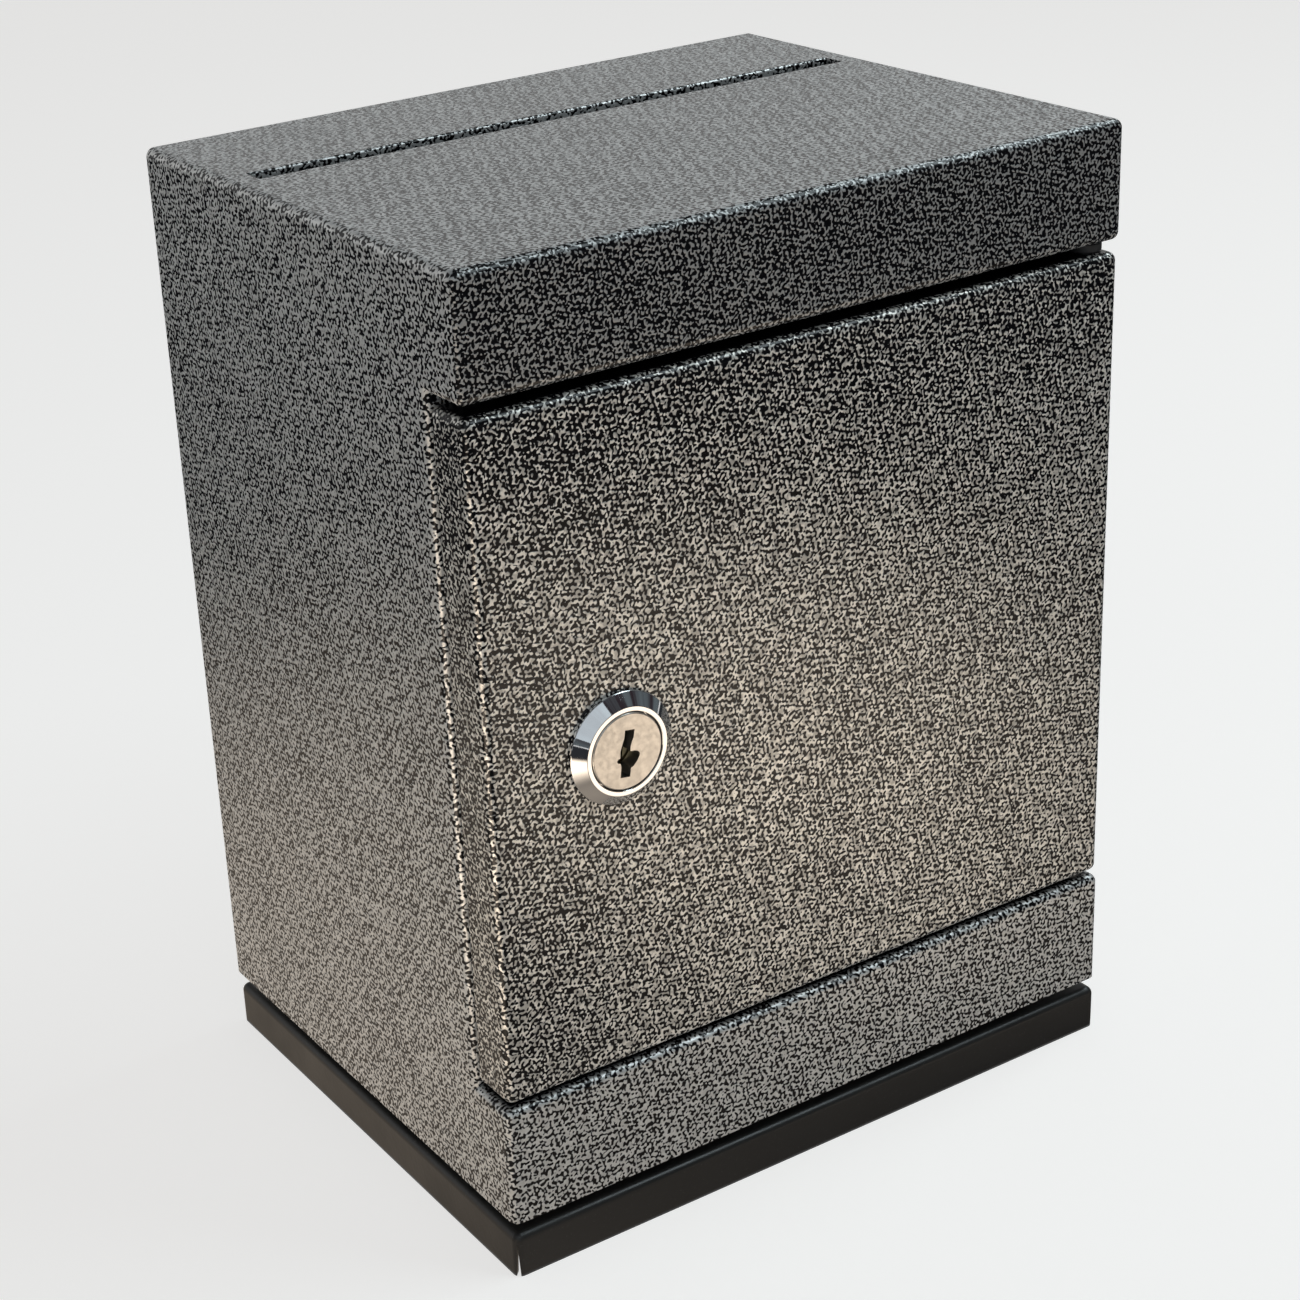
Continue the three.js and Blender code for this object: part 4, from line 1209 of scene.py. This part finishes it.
def reflector_card():
    """A card just over the floor that only gloss sees: dim, with warm pools that the safe mirrors."""
    piece = flat_square("reflector_card", 1.6, 0.4 * MM)
    material, tree, shader = new_material("reflector_card")
    tree.nodes.remove(shader)
    place = node(tree, "ShaderNodeTexCoord").outputs["Object"]
    door_front = light_pool(tree, place, (0.080, -0.222), (0.165, 0.152), 1.75)
    sill_front = light_pool(tree, place, (0.06, -0.09), (0.15, 0.055), 0.3)
    left_side = light_pool(tree, place, (-0.13, 0.06), (0.20, 0.26), 0.58)
    left_corner = light_pool(tree, place, (-0.25, -0.17), (0.19, 0.09), 6.0, math.radians(33.0))
    faces = maths(tree, "MAXIMUM", door_front, left_side)
    pools = maths(tree, "ADD", maths(tree, "ADD", left_corner, sill_front), faces)
    grey = node(tree, "ShaderNodeCombineXYZ", {0: pools, 1: pools, 2: pools}).outputs[0]
    warm = vector_maths(tree, "MULTIPLY", grey, (1.0, 0.83, 0.65))
    colour = vector_maths(tree, "ADD", warm, (0.026, 0.028, 0.032))
    emission = node(tree, "ShaderNodeEmission", {"Color": colour, "Strength": 1.0})
    tree.links.new(emission.outputs[0], tree.nodes["Material Output"].inputs["Surface"])
    piece.data.materials.append(material)
    piece.visible_camera = False
    piece.visible_diffuse = False
    piece.visible_shadow = False
    piece.visible_transmission = False


def world():
    """Pale to the camera; to everything else a dim streaky room with a bright band at the back."""
    made = bpy.data.worlds.new("studio")
    bpy.context.scene.world = made
    made.use_nodes = True
    tree = made.node_tree
    direction = node(tree, "ShaderNodeTexCoord").outputs["Generated"]
    parts = node(tree, "ShaderNodeSeparateXYZ", {0: direction})
    back = step_between(tree, parts.outputs["Y"], 0.0, 0.5)
    low = step_between(tree, parts.outputs["Z"], 0.42, 0.62, 1.0, 0.0)
    band = maths(tree, "MULTIPLY", back, low)
    upright_streaks = vector_maths(tree, "MULTIPLY", direction, (6.0, 6.0, 1.0))
    streak = step_between(tree, noise(tree, upright_streaks, 1.0, 3.0), 0.42, 0.60)
    dim = mixed(tree, streak, (0.030, 0.022, 0.026, 1), (0.11, 0.13, 0.14, 1))
    room = mixed(tree, band, dim, (0.64, 0.64, 0.635, 1))
    seen = node(tree, "ShaderNodeLightPath").outputs["Is Camera Ray"]
    colour = mixed(tree, seen, room, (0.93, 0.93, 0.93, 1))
    plugged(tree, tree.nodes["Background"], {"Color": colour, "Strength": 1.0})


def area_light(name, place, aim, size, power, colour):
    data = bpy.data.lights.new(name, "AREA")
    data.shape = "RECTANGLE"
    data.size, data.size_y = size
    data.energy = power
    data.color = colour
    lamp = new_object(name, data)
    lamp.location = place
    lamp.rotation_euler = (Vector(aim) - Vector(place)).to_track_quat("-Z", "Y").to_euler()


def lights():
    area_light("window_softbox", place=(-0.45, -0.65, 0.55), aim=(0, 0, 0.09),
               size=(1.0, 0.8), power=1.5, colour=(0.86, 0.95, 1.0))
    area_light("overhead_softbox", place=(0.58, -0.25, 0.90), aim=(0, 0, 0.1),
               size=(0.9, 0.25), power=4.15, colour=(0.82, 0.95, 1.0))


def camera():
    """The photograph's viewing angle: from the left and above, leaning a little."""
    azimuth, elevation, roll = math.radians(-30.884), math.radians(23.643), math.radians(-3.481)
    forward = Vector((
        -math.sin(azimuth) * math.cos(elevation),
        math.cos(azimuth) * math.cos(elevation),
        -math.sin(elevation),
    ))
    level = forward.cross(Vector((0, 0, 1))).normalized()
    upright = level.cross(forward)
    right = level * math.cos(roll) + upright * math.sin(roll)
    up = right.cross(forward)
    turn = Matrix((right, up, -forward)).transposed()
    data = bpy.data.cameras.new("camera")
    data.lens = 73.775
    data.sensor_width = 36.0
    data.shift_x, data.shift_y = 0.10, -0.0231
    data.clip_start = 0.01
    made = new_object("camera", data)
    made.matrix_world = Matrix.Translation((-0.2542, -0.3783, 0.2891)) @ turn.to_4x4()
    bpy.context.scene.camera = made


# ------------ the safe in its studio

camera()
body_shell()
floor_pan()
back_panel()
plinth()
plinth_fixings()
door_pan()
hinges()
lock_housing()
lock_plug()
wafers()
tooth_washer()
lock_nut()
stop_washer()
lock_cam()
cam_spring_washer()
cam_screw()
floor()
reflector_card()
world()
lights()
bpy.context.scene.view_settings.view_transform = "Standard"
